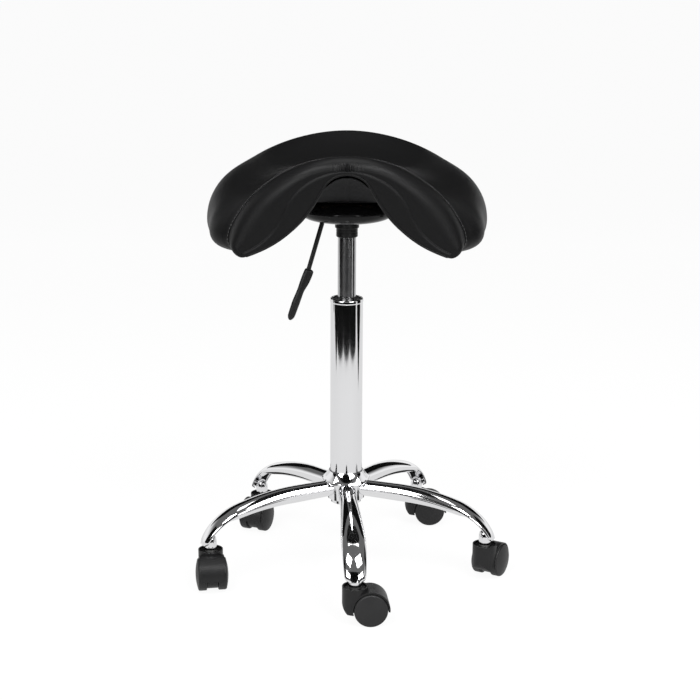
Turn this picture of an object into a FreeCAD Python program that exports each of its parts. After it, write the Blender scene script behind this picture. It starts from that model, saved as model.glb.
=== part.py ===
import FreeCAD, Part
import math
import os
from FreeCAD import Vector

# Saddle stool on a five-arm swivel base with twin-wheel casters and a gas lift.
# Millimetres, +Z up. The origin is on the floor under the column, and the seat's
# pommel points to -Y. Heights build on each other from the floor to the seat.

# Casters
CASTER_COUNT = 5
WHEEL_RADIUS = 25.0
WHEEL_TREAD_EDGE = 19.0
WHEEL_DOME = 6.0
WHEEL_EDGE_ROUND = 3.0
WHEEL_HUB_RADIUS = 7.0
WHEEL_CAP_RADIUS = 2.0
WHEEL_RECESS_DEPTH = 5.0
WHEEL_RIM_WALL = 3.5
HOOD_WEB = 8.0
HOOD_WALL = 2.5
WHEEL_GAP = 1.0
CASTER_TRAIL = 22.0
CASTER_HEIGHT = 57.0
CASTER_COLLAR_RADIUS = 19.0
HOOD_CHIN_RADIUS = 18.0
HOOD_TAIL_DROP = 3.0
COLLAR_RECESS_WALL = 2.0
COLLAR_RECESS_DEPTH = 3.0
STEM_RADIUS = 5.5
STEM_SHOULDER_RADIUS = 8.5
STEM_LENGTH_UP = 18.0
STEM_LENGTH_DOWN = 20.0
AXLE_RADIUS = 3.0
AXLE_END_GAP = 1.5
RUNNING_GAP = 0.05
SWIVEL_GAP = 0.6
CASTER_HEADINGS = (5.0, 60.0, 2.0, -112.0, -81.0)

# Five-arm base
BASE_STEM_RADIUS = 224.3
BASE_TURN = 3.6
ARM_RISE = 74.3
ARM_SLOPE = 3.0
ARM_BEND_RADIUS = 375.0
ARM_BEND_END = 17.0
ARM_NOSE_RADIUS = 88.0
ARM_NOSE_END = 60.0
ARM_TIP_OVERHANG = 6.2
ARM_TIP_LENGTH = 9.0
ARM_WALL = 2.0
ARM_ROOT_WIDTH = 27.4
ARM_ROOT_DEPTH = 25.0
ARM_WAIST_DEPTH = 27.0
ARM_FLARE_WIDTH = 37.0
ARM_FLARE_DEPTH = 14.5
ARM_TIP_WIDTH = 27.0
ARM_TIP_DEPTH = 11.0
SLEEVE_RADIUS = 9.75
SLEEVE_DOME = 11.0
WELD_GAP = 2.6

# Hub
HUB_RADIUS = 29.0
HUB_BELOW_ARM = 17.0
HUB_ABOVE_ARM = 18.0
HUB_COVER_RISE = 28.0
HUB_COVER_DROP = 16.5
HUB_COVER_FLAT_RADIUS = 33.5
HUB_COVER_BULGE = 1.2
HUB_COVER_SHEET = 1.5
HUB_COVER_NECK_GAP = 0.4

# Column and gas lift
COLUMN_RADIUS = 25.0
COLUMN_WALL = 2.0
COLUMN_LENGTH = 329.0
COLUMN_SPIGOT = 7.0
COLUMN_TAPER_LENGTH = 42.0
COLUMN_TAPER = 1.2
COLUMN_LIP = 0.65
COLUMN_LIP_HEIGHT = 5.6
END_PLATE_INSET = 4.0
END_PLATE_THICKNESS = 3.0
ROD_RADIUS = 5.0
ROD_NECK_RADIUS = 4.0
ROD_END_LENGTH = 4.0
CLIP_THICKNESS = 1.2
CLIP_WALL = 2.5
CLIP_MOUTH = 60.0
CLIP_WASHER_THICKNESS = 1.2
CLIP_WASHER_RADIUS = 10.0
BEARING_WASHER_THICKNESS = 1.2
BEARING_RADIUS = 12.0
BALL_RADIUS = 2.0
BALL_COUNT = 8
CAGE_THICKNESS = 1.6
BUFFER_RADIUS = 14.0
BUFFER_HEIGHT = 10.0
LIFT_DOWN = 80.0
LIFT_UP = 120.0
LIFT_SHOWN = 95.0
STOP_GAP = 1.0
CYLINDER_RADIUS = 14.0
CYLINDER_WALL = 2.0
CYLINDER_HEAD = 32.0
CYLINDER_TAPER = 0.7
GLAND_HEIGHT = 12.0
PISTON_HEIGHT = 12.0
PISTON_GAP = 0.1
PISTON_GROOVE = 1.5
BUSH_LENGTH = 80.0
BUSH_TOP_INSET = 0.8
RELEASE_PIN_RADIUS = 3.0
RELEASE_PIN_LENGTH = 44.0
RELEASE_PIN_SHOWN = 4.6

# Seat mounting
COLLAR_SLEEVE_RADIUS = 16.4
COLLAR_SLEEVE_HEIGHT = 14.0
COLLAR_FLANGE_RADIUS = 18.35
COLLAR_FLANGE_HEIGHT = 7.0
SOCKET_RADIUS = 18.0
SOCKET_CHAMBER_RADIUS = 12.5
SOCKET_HEAD_ROOM = 12.0
DISH_RADIUS = 72.0
DISH_HEIGHT = 35.5
DISH_WALL = 2.2
DISH_TOP_RADIUS = 50.0
DISH_WAIST_SHARE = 0.64
DISH_NECK_GAP = 0.3
DISH_LIFT = 2.8
DISH_FOOT_RADIUS = 38.0
PLATE_SIDE = 96.0
PLATE_CORNER = 12.0
PLATE_THICKNESS = 3.0
PLATE_BEAD_DEPTH = 1.2
PLATE_BEAD_WIDTH = 7.0
PLATE_SEAT_GAP = 0.4
BOLT_SPACING = 60.0
BOLT_RADIUS = 3.0
BOLT_HEAD_RADIUS = 5.5
BOLT_HEAD_HEIGHT = 3.5
BOLT_LENGTH = 11.0
NUT_BARREL_RADIUS = 4.2
NUT_FLANGE_RADIUS = 8.0
NUT_FLANGE_THICKNESS = 1.2
NUT_HEIGHT = 8.0

# Release lever
LEVER_PIVOT_X = -28.5
LEVER_PIVOT_DROP = 7.0
LEVER_RADIUS = 3.5
LEVER_BOSS_RADIUS = 5.6
LEVER_LEAN = 16.1
LEVER_LENGTH = 121.0
LEVER_FINGER_OVERRUN = 3.0
LEVER_FINGER_RADIUS = 3.0
LEVER_PIN_GAP = 0.2
PIVOT_RADIUS = 2.5
LUG_SPACING = 15.0
LUG_THICKNESS = 2.5
LUG_RADIUS = 6.0
HANDLE_LENGTH = 80.0
HANDLE_WIDTH = 15.0
HANDLE_TIP_WIDTH = 11.5
HANDLE_THICKNESS = 9.5
HANDLE_BEVEL = 1.6
HANDLE_CORNER = 2.4
HANDLE_LEAN = 19.5
HANDLE_STEP = 0.42
HANDLE_GRIP = 14.0
LEVER_SLOT_WIDTH = 11.0
LEVER_SLOT_LENGTH = 21.0

# Saddle, with its heights measured from the top of the seat plate
SEAT_FRONT = -156.0
SEAT_REAR = 172.0
FRONT_ROLL = 38.0
REAR_ROLL = 34.0
FRONT_LEAN = 15.0
REAR_LEAN = -14.0
EDGE_SHARE = 0.22
SKIN = 1.6
SHELL_THICKNESS = 9.0
CLOTH = 1.0
CLOTH_GAP = 0.6
CLOTH_LOW = 1.0
CLOTH_REACH = 0.8
CLOTH_FOLD = 63.0
CLOTH_SAG = 2.0
CLOTH_INSET = 12.0
BLOCK_HALF_WIDTH = 44.0
BLOCK_HALF_LENGTH = 56.0
BLOCK_CORNER = 10.0
SEAT_STATIONS = 9

# Each key section: place along Y, crown, shoulder, outer foot, inner foot, haunch, apex.
# A point is (distance from the middle plane, height above the seat plate).
POMMEL = (-118.0, 77.5, (135.0, 18.0), (166.0, -44.0), (144.0, -66.0), (38.0, 33.0), 55.0)
MIDDLE = (20.0, 56.0, (158.0, 30.0), (213.0, -38.0), (180.0, -76.0), (78.0, 1.0), 17.0)
CANTLE = (140.0, 79.0, (142.0, 38.0), (193.0, -30.0), (160.0, -56.0), (62.0, 10.0), 24.0)

AXIS_Z = Vector(0, 0, 1)
AXIS_Y = Vector(0, 1, 0)
AXIS_X = Vector(1, 0, 0)


def cos_deg(angle):
    return math.cos(math.radians(angle))


def sin_deg(angle):
    return math.sin(math.radians(angle))


def disc(radius, low, high, x=0.0, y=0.0):
    """Upright cylinder between two heights."""
    return Part.makeCylinder(radius, high - low, Vector(x, y, low))


def ring(outer, inner, low, high):
    """Upright tube between two heights."""
    return disc(outer, low, high).cut(disc(inner, low, high))


def cone(low_radius, high_radius, low, high):
    """Upright cone frustum between two heights."""
    return Part.makeCone(low_radius, high_radius, high - low, Vector(0, 0, low))


def box(x_low, x_high, y_low, y_high, z_low, z_high):
    """Block between opposite corners."""
    return Part.makeBox(x_high - x_low, y_high - y_low, z_high - z_low, Vector(x_low, y_low, z_low))


def cross_rod(radius, x, z, y_low, y_high):
    """Cylinder lying along Y."""
    return Part.makeCylinder(radius, y_high - y_low, Vector(x, y_low, z), AXIS_Y)


def spun(points):
    """Solid of revolution about Z. A point with three numbers ends an arc whose
    middle point is the entry before it."""
    edges = []
    here = points[0]
    middle = None
    for point in points[1:]:
        if len(point) == 3:
            middle = Vector(point[0], 0, point[1])
            continue
        end = Vector(point[0], 0, point[1])
        start = Vector(here[0], 0, here[1])
        if middle is None:
            edges.append(Part.LineSegment(start, end).toShape())
        else:
            edges.append(Part.Arc(start, middle, end).toShape())
        middle = None
        here = point
    if here != points[0]:
        edges.append(Part.LineSegment(Vector(here[0], 0, here[1]), Vector(points[0][0], 0, points[0][1])).toShape())
    return Part.Face(Part.Wire(edges)).revolve(Vector(), AXIS_Z, 360)


def placed(shape, turn, radius=0.0):
    """Copy of a shape slid out along X and turned about the column."""
    copy = shape.copy()
    copy.translate(Vector(radius, 0, 0))
    copy.rotate(Vector(), AXIS_Z, turn)
    return copy


def largest(shape):
    """The biggest solid of a result."""
    return max(shape.Solids, key=lambda solid: solid.Volume)


def joined(shapes):
    """One solid from overlapping shapes."""
    result = shapes[0]
    for shape in shapes[1:]:
        result = result.fuse(shape)
    return result.removeSplitter()


# Heights, from the floor up
arm_angles = [-90.0 + BASE_TURN + turn * 360.0 / CASTER_COUNT for turn in range(CASTER_COUNT)]
sleeve_foot = CASTER_HEIGHT + SWIVEL_GAP
arm_root_z = sleeve_foot + ARM_RISE
hub_foot = arm_root_z - HUB_BELOW_ARM
hub_head = arm_root_z + HUB_ABOVE_ARM
column_foot = hub_foot - COLUMN_SPIGOT
column_head = column_foot + COLUMN_LENGTH
taper_head = column_foot + COLUMN_TAPER_LENGTH
plate_foot = column_foot + END_PLATE_INSET
plate_head = plate_foot + END_PLATE_THICKNESS
race_head = plate_head + BEARING_WASHER_THICKNESS
race_cover = race_head + 2 * BALL_RADIUS
bearing_head = race_cover + BEARING_WASHER_THICKNESS
buffer_head = bearing_head + BUFFER_HEIGHT
cylinder_foot = buffer_head + LIFT_DOWN + STOP_GAP
gland_head = cylinder_foot + GLAND_HEIGHT
piston_foot = gland_head + LIFT_UP + STOP_GAP
piston_head_z = piston_foot + PISTON_HEIGHT
collar_foot = column_head + LIFT_SHOWN
collar_step = collar_foot + COLLAR_SLEEVE_HEIGHT
collar_head = collar_step + COLLAR_FLANGE_HEIGHT
dish_foot = collar_head + DISH_LIFT
dish_head = dish_foot + DISH_HEIGHT
seat_plate_foot = dish_head + PLATE_SEAT_GAP
seat_plate_head = seat_plate_foot + PLATE_THICKNESS
cylinder_head = seat_plate_foot - SOCKET_HEAD_ROOM
pin_head = cylinder_head + RELEASE_PIN_SHOWN
pin_foot = pin_head - RELEASE_PIN_LENGTH
pivot_z = seat_plate_foot - LEVER_PIVOT_DROP
finger_z = pin_head + LEVER_PIN_GAP + LEVER_FINGER_RADIUS


def taper_radius(z):
    """Outer radius of the column at a height: straight above, tapered in the hub."""
    share = min(1.0, (z - column_foot) / COLUMN_TAPER_LENGTH)
    return COLUMN_RADIUS - COLUMN_TAPER * (1.0 - share)


def arm_line():
    """Stations down the arm: distance from the column, height, downward angle, share."""
    bend_run = ARM_BEND_RADIUS * (sin_deg(ARM_BEND_END) - sin_deg(ARM_SLOPE))
    nose_run = ARM_NOSE_RADIUS * (sin_deg(ARM_NOSE_END) - sin_deg(ARM_BEND_END))
    bend_start = BASE_STEM_RADIUS + ARM_TIP_OVERHANG - nose_run - bend_run
    start = HUB_RADIUS - COLUMN_WALL * 2
    stations = [(start, arm_root_z, ARM_SLOPE)]
    bend_z = arm_root_z - (bend_start - start) * math.tan(math.radians(ARM_SLOPE))
    stations.append(((start + bend_start) / 2, (arm_root_z + bend_z) / 2, ARM_SLOPE))
    stations.append((bend_start, bend_z, ARM_SLOPE))
    for share in (0.5, 1.0):
        angle = ARM_SLOPE + (ARM_BEND_END - ARM_SLOPE) * share
        r = bend_start + ARM_BEND_RADIUS * (sin_deg(angle) - sin_deg(ARM_SLOPE))
        z = bend_z - ARM_BEND_RADIUS * (cos_deg(ARM_SLOPE) - cos_deg(angle))
        stations.append((r, z, angle))
    nose_r, nose_z = stations[-1][:2]
    for share in (0.33, 0.67, 1.0):
        angle = ARM_BEND_END + (ARM_NOSE_END - ARM_BEND_END) * share
        r = nose_r + ARM_NOSE_RADIUS * (sin_deg(angle) - sin_deg(ARM_BEND_END))
        z = nose_z - ARM_NOSE_RADIUS * (cos_deg(ARM_BEND_END) - cos_deg(angle))
        stations.append((r, z, angle))
    tip_r, tip_z = stations[-1][:2]
    tip_r += ARM_TIP_LENGTH * cos_deg(ARM_NOSE_END)
    tip_z -= ARM_TIP_LENGTH * sin_deg(ARM_NOSE_END)
    stations.append((tip_r, tip_z, ARM_NOSE_END))
    return stations


NOSE_STATION = 4
ARM_WIDTHS = (
    ARM_ROOT_WIDTH,
    ARM_ROOT_WIDTH,
    ARM_ROOT_WIDTH * 1.05,
    (ARM_ROOT_WIDTH + ARM_FLARE_WIDTH) / 2,
    ARM_FLARE_WIDTH,
    ARM_FLARE_WIDTH,
    (ARM_FLARE_WIDTH + ARM_TIP_WIDTH) / 2 + 3.0,
    (ARM_FLARE_WIDTH + ARM_TIP_WIDTH) / 2,
    ARM_TIP_WIDTH,
)
ARM_DEPTHS = (
    ARM_ROOT_DEPTH,
    (ARM_ROOT_DEPTH + ARM_WAIST_DEPTH) / 2,
    ARM_WAIST_DEPTH,
    (ARM_WAIST_DEPTH + ARM_FLARE_DEPTH) / 2 + 3.5,
    (ARM_WAIST_DEPTH + ARM_FLARE_DEPTH) / 2 - 1.0,
    ARM_FLARE_DEPTH + 1.5,
    ARM_FLARE_DEPTH,
    (ARM_FLARE_DEPTH + ARM_TIP_DEPTH) / 2,
    ARM_TIP_DEPTH,
)


def oval(centre, slope, half_width, half_depth):
    """Ellipse across the arm: width along Y, depth square to the arm's line."""
    across = Vector(sin_deg(slope), 0, cos_deg(slope))
    outline = Part.Ellipse(centre + AXIS_Y * half_width, centre + across * half_depth, centre)
    return Part.Wire(outline.toShape())


def arm_loft(inset):
    """Loft down the arm, drawn in on every side by the inset."""
    wires = []
    for width, depth, (r, z, slope) in zip(ARM_WIDTHS, ARM_DEPTHS, arm_line()):
        wires.append(oval(Vector(r, 0, z), slope, width / 2 - inset, depth / 2 - inset))
    return Part.makeLoft(wires, True, True)


def arm_underside():
    """The space under the middle of the nose, where the pressed arm is open."""
    stations = arm_line()
    nose = stations[NOSE_STATION:]
    upper = [Vector(r, 0, z) for r, z, slope in nose]
    last = stations[-1]
    beyond = Vector(cos_deg(last[2]), 0, -sin_deg(last[2])) * ARM_TIP_DEPTH
    upper.append(upper[-1] + beyond)
    curve = Part.BSplineCurve()
    curve.interpolate(upper)
    foot = sleeve_foot - ARM_RISE
    left = Vector(upper[0].x, 0, foot)
    right = Vector(upper[-1].x, 0, foot)
    edges = [
        curve.toShape(),
        Part.LineSegment(upper[-1], right).toShape(),
        Part.LineSegment(right, left).toShape(),
        Part.LineSegment(left, upper[0]).toShape(),
    ]
    face = Part.Face(Part.Wire(edges))
    face.translate(Vector(0, -ARM_FLARE_WIDTH, 0))
    return face.extrude(Vector(0, 2 * ARM_FLARE_WIDTH, 0))


def make_arm():
    """Pressed arm: a closed oval tube that opens underneath into a shell at its nose."""
    outer = arm_loft(0.0)
    nose_start = arm_line()[NOSE_STATION][0] - ARM_WALL
    reach = BASE_STEM_RADIUS + ARM_FLARE_WIDTH
    nose = box(nose_start, reach, -ARM_FLARE_WIDTH, ARM_FLARE_WIDTH, 0, hub_head)
    hollow = arm_loft(ARM_WALL).common(nose)
    arm = outer.cut(arm_underside()).cut(hollow)
    arm = arm.cut(disc(HUB_RADIUS, hub_foot, hub_head + HUB_RADIUS))
    return largest(arm), outer


def nose_z_at(radius):
    """Height of the arm's middle line over a distance from the column, on the nose."""
    stations = arm_line()
    nose_r, nose_z = stations[NOSE_STATION][:2]
    sine = sin_deg(ARM_BEND_END) + (radius - nose_r) / ARM_NOSE_RADIUS
    return nose_z - ARM_NOSE_RADIUS * (cos_deg(ARM_BEND_END) - math.sqrt(1 - sine * sine))


def make_sleeve():
    """Domed socket welded upright inside the nose, with the bore for a caster stem."""
    headroom = (ARM_TIP_DEPTH / 2 - ARM_WALL) / cos_deg(ARM_NOSE_END)
    dome_foot = nose_z_at(BASE_STEM_RADIUS + SLEEVE_RADIUS) + headroom - WELD_GAP
    top = dome_foot + SLEEVE_DOME
    crown = SLEEVE_RADIUS * 0.35
    waist = (SLEEVE_RADIUS * 0.86, dome_foot + SLEEVE_DOME * 0.62, "arc")
    points = [(0, sleeve_foot), (SLEEVE_RADIUS, sleeve_foot), (SLEEVE_RADIUS, dome_foot), waist, (crown, top), (0, top)]
    sleeve = spun(points)
    sleeve = sleeve.cut(disc(STEM_RADIUS, sleeve_foot, sleeve_foot + STEM_LENGTH_UP))
    sleeve.translate(Vector(BASE_STEM_RADIUS, 0, 0))
    return sleeve


def make_hub_tube():
    """Welded hub ring with the tapered seat for the column."""
    outer = disc(HUB_RADIUS, hub_foot, hub_head)
    taper = cone(taper_radius(column_foot), COLUMN_RADIUS, column_foot, taper_head)
    return outer.cut(taper).cut(disc(COLUMN_RADIUS, taper_head, hub_head))


def star_wire(flat_radius, bulge, z):
    """Five-sided outline with slightly bowed sides and corners between the arms."""
    corner = flat_radius / cos_deg(180.0 / CASTER_COUNT)
    edges = []
    for angle in arm_angles:
        start = angle - 180.0 / CASTER_COUNT
        end = angle + 180.0 / CASTER_COUNT
        first = Vector(corner * cos_deg(start), corner * sin_deg(start), z)
        last = Vector(corner * cos_deg(end), corner * sin_deg(end), z)
        middle = Vector((flat_radius + bulge) * cos_deg(angle), (flat_radius + bulge) * sin_deg(angle), z)
        edges.append(Part.Arc(first, middle, last).toShape())
    return Part.Wire(edges)


def round_wire(radius, z):
    """Circle drawn as one arc over each arm."""
    edges = []
    for angle in arm_angles:
        ends = [angle - 180.0 / CASTER_COUNT, angle, angle + 180.0 / CASTER_COUNT]
        points = [Vector(radius * cos_deg(a), radius * sin_deg(a), z) for a in ends]
        edges.append(Part.Arc(*points).toShape())
    return Part.Wire(edges)


def make_hub_cover(arm_outer):
    """Pressed cap from the round column down to a five-sided edge on the arms."""
    top = arm_root_z + HUB_COVER_RISE
    foot = top - HUB_COVER_DROP
    neck = COLUMN_RADIUS + HUB_COVER_NECK_GAP
    outer = Part.makeLoft(
        [round_wire(neck + HUB_COVER_SHEET, top), star_wire(HUB_COVER_FLAT_RADIUS, HUB_COVER_BULGE, foot)], True, True
    )
    inner_flat = HUB_COVER_FLAT_RADIUS - HUB_COVER_SHEET
    inner = Part.makeLoft([round_wire(neck, top), star_wire(inner_flat, HUB_COVER_BULGE, foot)], True, True)
    cover = outer.cut(inner).cut(disc(HUB_RADIUS, foot - 1, hub_head))
    for angle in arm_angles:
        cover = cover.cut(placed(arm_outer, angle))
    return largest(cover)


def make_column():
    """Pressure-lift outer tube with its rolled lip and tapered foot."""
    lip = COLUMN_RADIUS + COLUMN_LIP
    lip_foot = column_head - COLUMN_LIP_HEIGHT
    foot = taper_radius(column_foot)
    profile = [
        (foot - COLUMN_WALL, column_foot),
        (foot, column_foot),
        (COLUMN_RADIUS, taper_head),
        (COLUMN_RADIUS, lip_foot - COLUMN_LIP),
        (lip, lip_foot),
        (lip, column_head - 1.2),
        (lip - 0.4, column_head - 0.35, "arc"),
        (lip - 1.2, column_head),
        (COLUMN_RADIUS - COLUMN_WALL, column_head),
        (COLUMN_RADIUS - COLUMN_WALL, taper_head),
    ]
    return spun(profile)


def make_guide_bush():
    """Long plastic bush that guides the gas cylinder in the column."""
    head = column_head - BUSH_TOP_INSET
    foot = head - BUSH_LENGTH
    bush = ring(COLUMN_RADIUS - COLUMN_WALL, CYLINDER_RADIUS + RUNNING_GAP, foot, head)
    relief = ring(COLUMN_RADIUS, COLUMN_RADIUS - 2 * COLUMN_WALL, foot + BUSH_LENGTH * 0.3, head - BUSH_LENGTH * 0.3)
    return bush.cut(relief)


def make_end_plate():
    """Disc that closes the column's foot and carries the bearing."""
    foot = taper_radius(plate_foot) - COLUMN_WALL
    head = taper_radius(plate_head) - COLUMN_WALL
    return cone(foot, head, plate_foot, plate_head).cut(disc(ROD_NECK_RADIUS + RUNNING_GAP, plate_foot, plate_head))


def make_bearing_washers():
    """Two hardened races of the thrust bearing."""
    bore = ROD_NECK_RADIUS + RUNNING_GAP
    lower = ring(BEARING_RADIUS, bore, plate_head, race_head)
    upper = ring(BEARING_RADIUS, bore, race_cover, bearing_head)
    return Part.makeCompound([lower, upper])


def make_ball_cage():
    """Thin cage and its row of balls."""
    pitch = (BEARING_RADIUS + ROD_NECK_RADIUS) / 2
    middle = race_head + BALL_RADIUS
    cage = ring(BEARING_RADIUS - 0.5, ROD_NECK_RADIUS + 0.5, middle - CAGE_THICKNESS / 2, middle + CAGE_THICKNESS / 2)
    balls = []
    for turn in range(BALL_COUNT):
        angle = turn * 360.0 / BALL_COUNT
        centre = Vector(pitch * cos_deg(angle), pitch * sin_deg(angle), middle)
        ball = Part.makeSphere(BALL_RADIUS, centre)
        cage = cage.cut(ball)
        balls.append(ball)
    return Part.makeCompound([cage] + balls)


def make_clip():
    """Open retaining ring in the rod's groove under the end plate."""
    head = plate_foot - CLIP_WASHER_THICKNESS - RUNNING_GAP
    foot = head - CLIP_THICKNESS
    clip = ring(ROD_NECK_RADIUS + CLIP_WALL, ROD_NECK_RADIUS - 0.5, foot, head)
    reach = ROD_NECK_RADIUS + CLIP_WALL + 1
    half = CLIP_MOUTH / 2
    mouth = Part.makePolygon([
        Vector(0, 0, foot), Vector(reach * 2 * cos_deg(-half), reach * 2 * sin_deg(-half), foot),
        Vector(reach * 2 * cos_deg(half), reach * 2 * sin_deg(half), foot), Vector(0, 0, foot),
    ])
    return clip.cut(Part.Face(mouth).extrude(Vector(0, 0, CLIP_THICKNESS)))


def make_piston_rod():
    """Polished rod: grooved neck through the bearing, shoulder on it, shaft to the piston."""
    clip_head = plate_foot - CLIP_WASHER_THICKNESS - RUNNING_GAP
    clip_foot = clip_head - CLIP_THICKNESS
    foot = clip_foot - ROD_END_LENGTH
    neck = disc(ROD_NECK_RADIUS, foot, bearing_head + RUNNING_GAP)
    groove = ring(ROD_RADIUS, ROD_NECK_RADIUS - 0.5, clip_foot, clip_head)
    shaft = disc(ROD_RADIUS, bearing_head + RUNNING_GAP, piston_foot)
    return neck.cut(groove).fuse(shaft).removeSplitter()


def make_piston():
    """Piston on the rod's end, with two seal grooves."""
    radius = CYLINDER_RADIUS - CYLINDER_WALL - PISTON_GAP
    piston = disc(radius, piston_foot, piston_head_z)
    for share in (0.25, 0.65):
        foot = piston_foot + PISTON_HEIGHT * share
        piston = piston.cut(ring(radius + 1, radius - PISTON_GROOVE, foot, foot + PISTON_GROOVE))
    return piston


def cylinder_taper(z):
    """Outer radius of the gas cylinder's head in its socket."""
    share = (z - collar_head) / (cylinder_head - collar_head)
    return CYLINDER_RADIUS - CYLINDER_TAPER * share


def make_cylinder():
    """Gas cylinder with its tapered head and the bore of the release pin."""
    bore = CYLINDER_RADIUS - CYLINDER_WALL
    profile = [
        (bore, cylinder_foot),
        (CYLINDER_RADIUS - 0.8, cylinder_foot),
        (CYLINDER_RADIUS, cylinder_foot + 0.8),
        (CYLINDER_RADIUS, collar_head),
        (CYLINDER_RADIUS - CYLINDER_TAPER, cylinder_head),
        (RELEASE_PIN_RADIUS + RUNNING_GAP, cylinder_head),
        (RELEASE_PIN_RADIUS + RUNNING_GAP, cylinder_head - CYLINDER_HEAD),
        (bore, cylinder_head - CYLINDER_HEAD),
    ]
    return spun(profile)


def make_gland():
    """Seal and rod guide at the cylinder's foot."""
    bore = CYLINDER_RADIUS - CYLINDER_WALL
    return ring(bore, ROD_RADIUS + RUNNING_GAP, cylinder_foot, gland_head)


def make_release_pin():
    """Spring-loaded valve pin in the cylinder's head, rounded at its end."""
    round_foot = pin_head - RELEASE_PIN_RADIUS / 3
    profile = [
        (0, pin_foot),
        (RELEASE_PIN_RADIUS, pin_foot),
        (RELEASE_PIN_RADIUS, round_foot),
        (RELEASE_PIN_RADIUS * 0.72, pin_head - 0.2, "arc"),
        (RELEASE_PIN_RADIUS * 0.4, pin_head),
        (0, pin_head),
    ]
    return spun(profile)


def make_socket_collar():
    """Black stepped collar under the dish."""
    bore = CYLINDER_RADIUS + RUNNING_GAP
    profile = [
        (bore, collar_foot),
        (COLLAR_SLEEVE_RADIUS - 1, collar_foot),
        (COLLAR_SLEEVE_RADIUS, collar_foot + 1),
        (COLLAR_SLEEVE_RADIUS, collar_step),
        (COLLAR_FLANGE_RADIUS - 0.6, collar_step),
        (COLLAR_FLANGE_RADIUS, collar_step + 0.6),
        (COLLAR_FLANGE_RADIUS, collar_head),
        (bore, collar_head),
    ]
    return spun(profile)


def make_taper_socket():
    """Steel socket that grips the cylinder's head and is welded to the seat plate."""
    body = disc(SOCKET_RADIUS, collar_head, seat_plate_foot)
    taper = cone(CYLINDER_RADIUS, CYLINDER_RADIUS - CYLINDER_TAPER, collar_head, cylinder_head)
    chamber = disc(SOCKET_CHAMBER_RADIUS, cylinder_head, seat_plate_foot)
    slot_half = LEVER_FINGER_RADIUS + 1.5
    slot = box(-SOCKET_RADIUS - 1, 0, -slot_half, slot_half, cylinder_head, seat_plate_foot)
    return body.cut(taper).cut(chamber).cut(slot)


def dish_profile(inset):
    """Side outline of the dish from its foot out to the waist and up to its open top."""
    radius = DISH_RADIUS - inset
    head = dish_head - inset
    waist_z = dish_foot + DISH_HEIGHT * DISH_WAIST_SHARE
    foot = dish_foot + inset
    foot_r = DISH_FOOT_RADIUS - inset * 0.3
    bend = (radius * 0.90, dish_foot + DISH_HEIGHT * 0.25 + inset, "arc")
    run = radius - DISH_TOP_RADIUS
    drop = head - waist_z
    brow_r = (run * run + drop * drop) / (2 * drop)
    half_turn = math.asin(run / brow_r) / 2
    brow = (DISH_TOP_RADIUS + brow_r * math.sin(half_turn), head - brow_r * (1 - math.cos(half_turn)), "arc")
    return foot_r, foot, bend, (radius, waist_z), brow, (DISH_TOP_RADIUS, head)


def make_dish():
    """Moulded lower cover: a shallow disc with a neck and a slot for the lever."""
    neck = SOCKET_RADIUS + DISH_NECK_GAP
    parts = []
    for inset in (0.0, DISH_WALL):
        foot_r, foot, bend, waist, brow, top = dish_profile(inset)
        points = [(neck, foot), (foot_r, foot + DISH_WALL), bend, waist, brow, top, (neck, top[1])]
        parts.append(spun(points))
    shell = parts[0].cut(parts[1])
    shell = shell.cut(disc(DISH_TOP_RADIUS, dish_head - 2 * DISH_WALL, dish_head + 1))
    neck_ring = ring(neck + DISH_WALL, neck, collar_head, dish_foot + 2 * DISH_WALL)
    shell = shell.fuse(neck_ring).cut(disc(neck, collar_head, dish_head))
    slot_near = LEVER_PIVOT_X + LEVER_BOSS_RADIUS
    half = LEVER_SLOT_WIDTH / 2
    slot = box(slot_near - LEVER_SLOT_LENGTH, slot_near, -half, half, collar_head, dish_foot + DISH_HEIGHT / 2)
    return largest(shell.cut(slot).removeSplitter())


def rounded_plate(side_x, side_y, corner, low, high):
    """Flat plate with rounded corners."""
    plate = box(-side_x / 2, side_x / 2, -side_y / 2, side_y / 2, low, high)
    upright = [e for e in plate.Edges if abs(e.Vertexes[0].Z - e.Vertexes[1].Z) > (high - low) / 2]
    return plate.makeFillet(corner, upright)


def corner_points(spacing):
    """The four corners of a square pattern."""
    half = spacing / 2
    return [(x, y) for x in (-half, half) for y in (-half, half)]


def make_seat_plate():
    """Steel seat plate with stiffening beads, bolt holes and two lever lugs."""
    plate = rounded_plate(PLATE_SIDE, PLATE_SIDE, PLATE_CORNER, seat_plate_foot, seat_plate_head)
    bead_x = PLATE_SIDE / 2 - PLATE_CORNER
    for y in (-BOLT_SPACING / 4, BOLT_SPACING / 4):
        half = PLATE_BEAD_WIDTH / 2
        bead = box(-bead_x, bead_x, y - half, y + half, seat_plate_head - PLATE_BEAD_DEPTH, seat_plate_head)
        plate = plate.cut(bead)
    for x, y in corner_points(BOLT_SPACING):
        plate = plate.cut(disc(BOLT_RADIUS + RUNNING_GAP * 6, seat_plate_foot, seat_plate_head, x, y))
    shapes = [plate]
    for side in (-1, 1):
        middle = side * LUG_SPACING / 2
        low = middle - LUG_THICKNESS / 2
        high = middle + LUG_THICKNESS / 2
        ear = cross_rod(LUG_RADIUS, LEVER_PIVOT_X, pivot_z, low, high)
        web = box(LEVER_PIVOT_X - LUG_RADIUS, LEVER_PIVOT_X + LUG_RADIUS, low, high, pivot_z, seat_plate_foot)
        shapes.append(ear.fuse(web))
    plate = joined(shapes)
    reach = LUG_SPACING
    return plate.cut(cross_rod(PIVOT_RADIUS, LEVER_PIVOT_X, pivot_z, -reach, reach))


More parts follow.
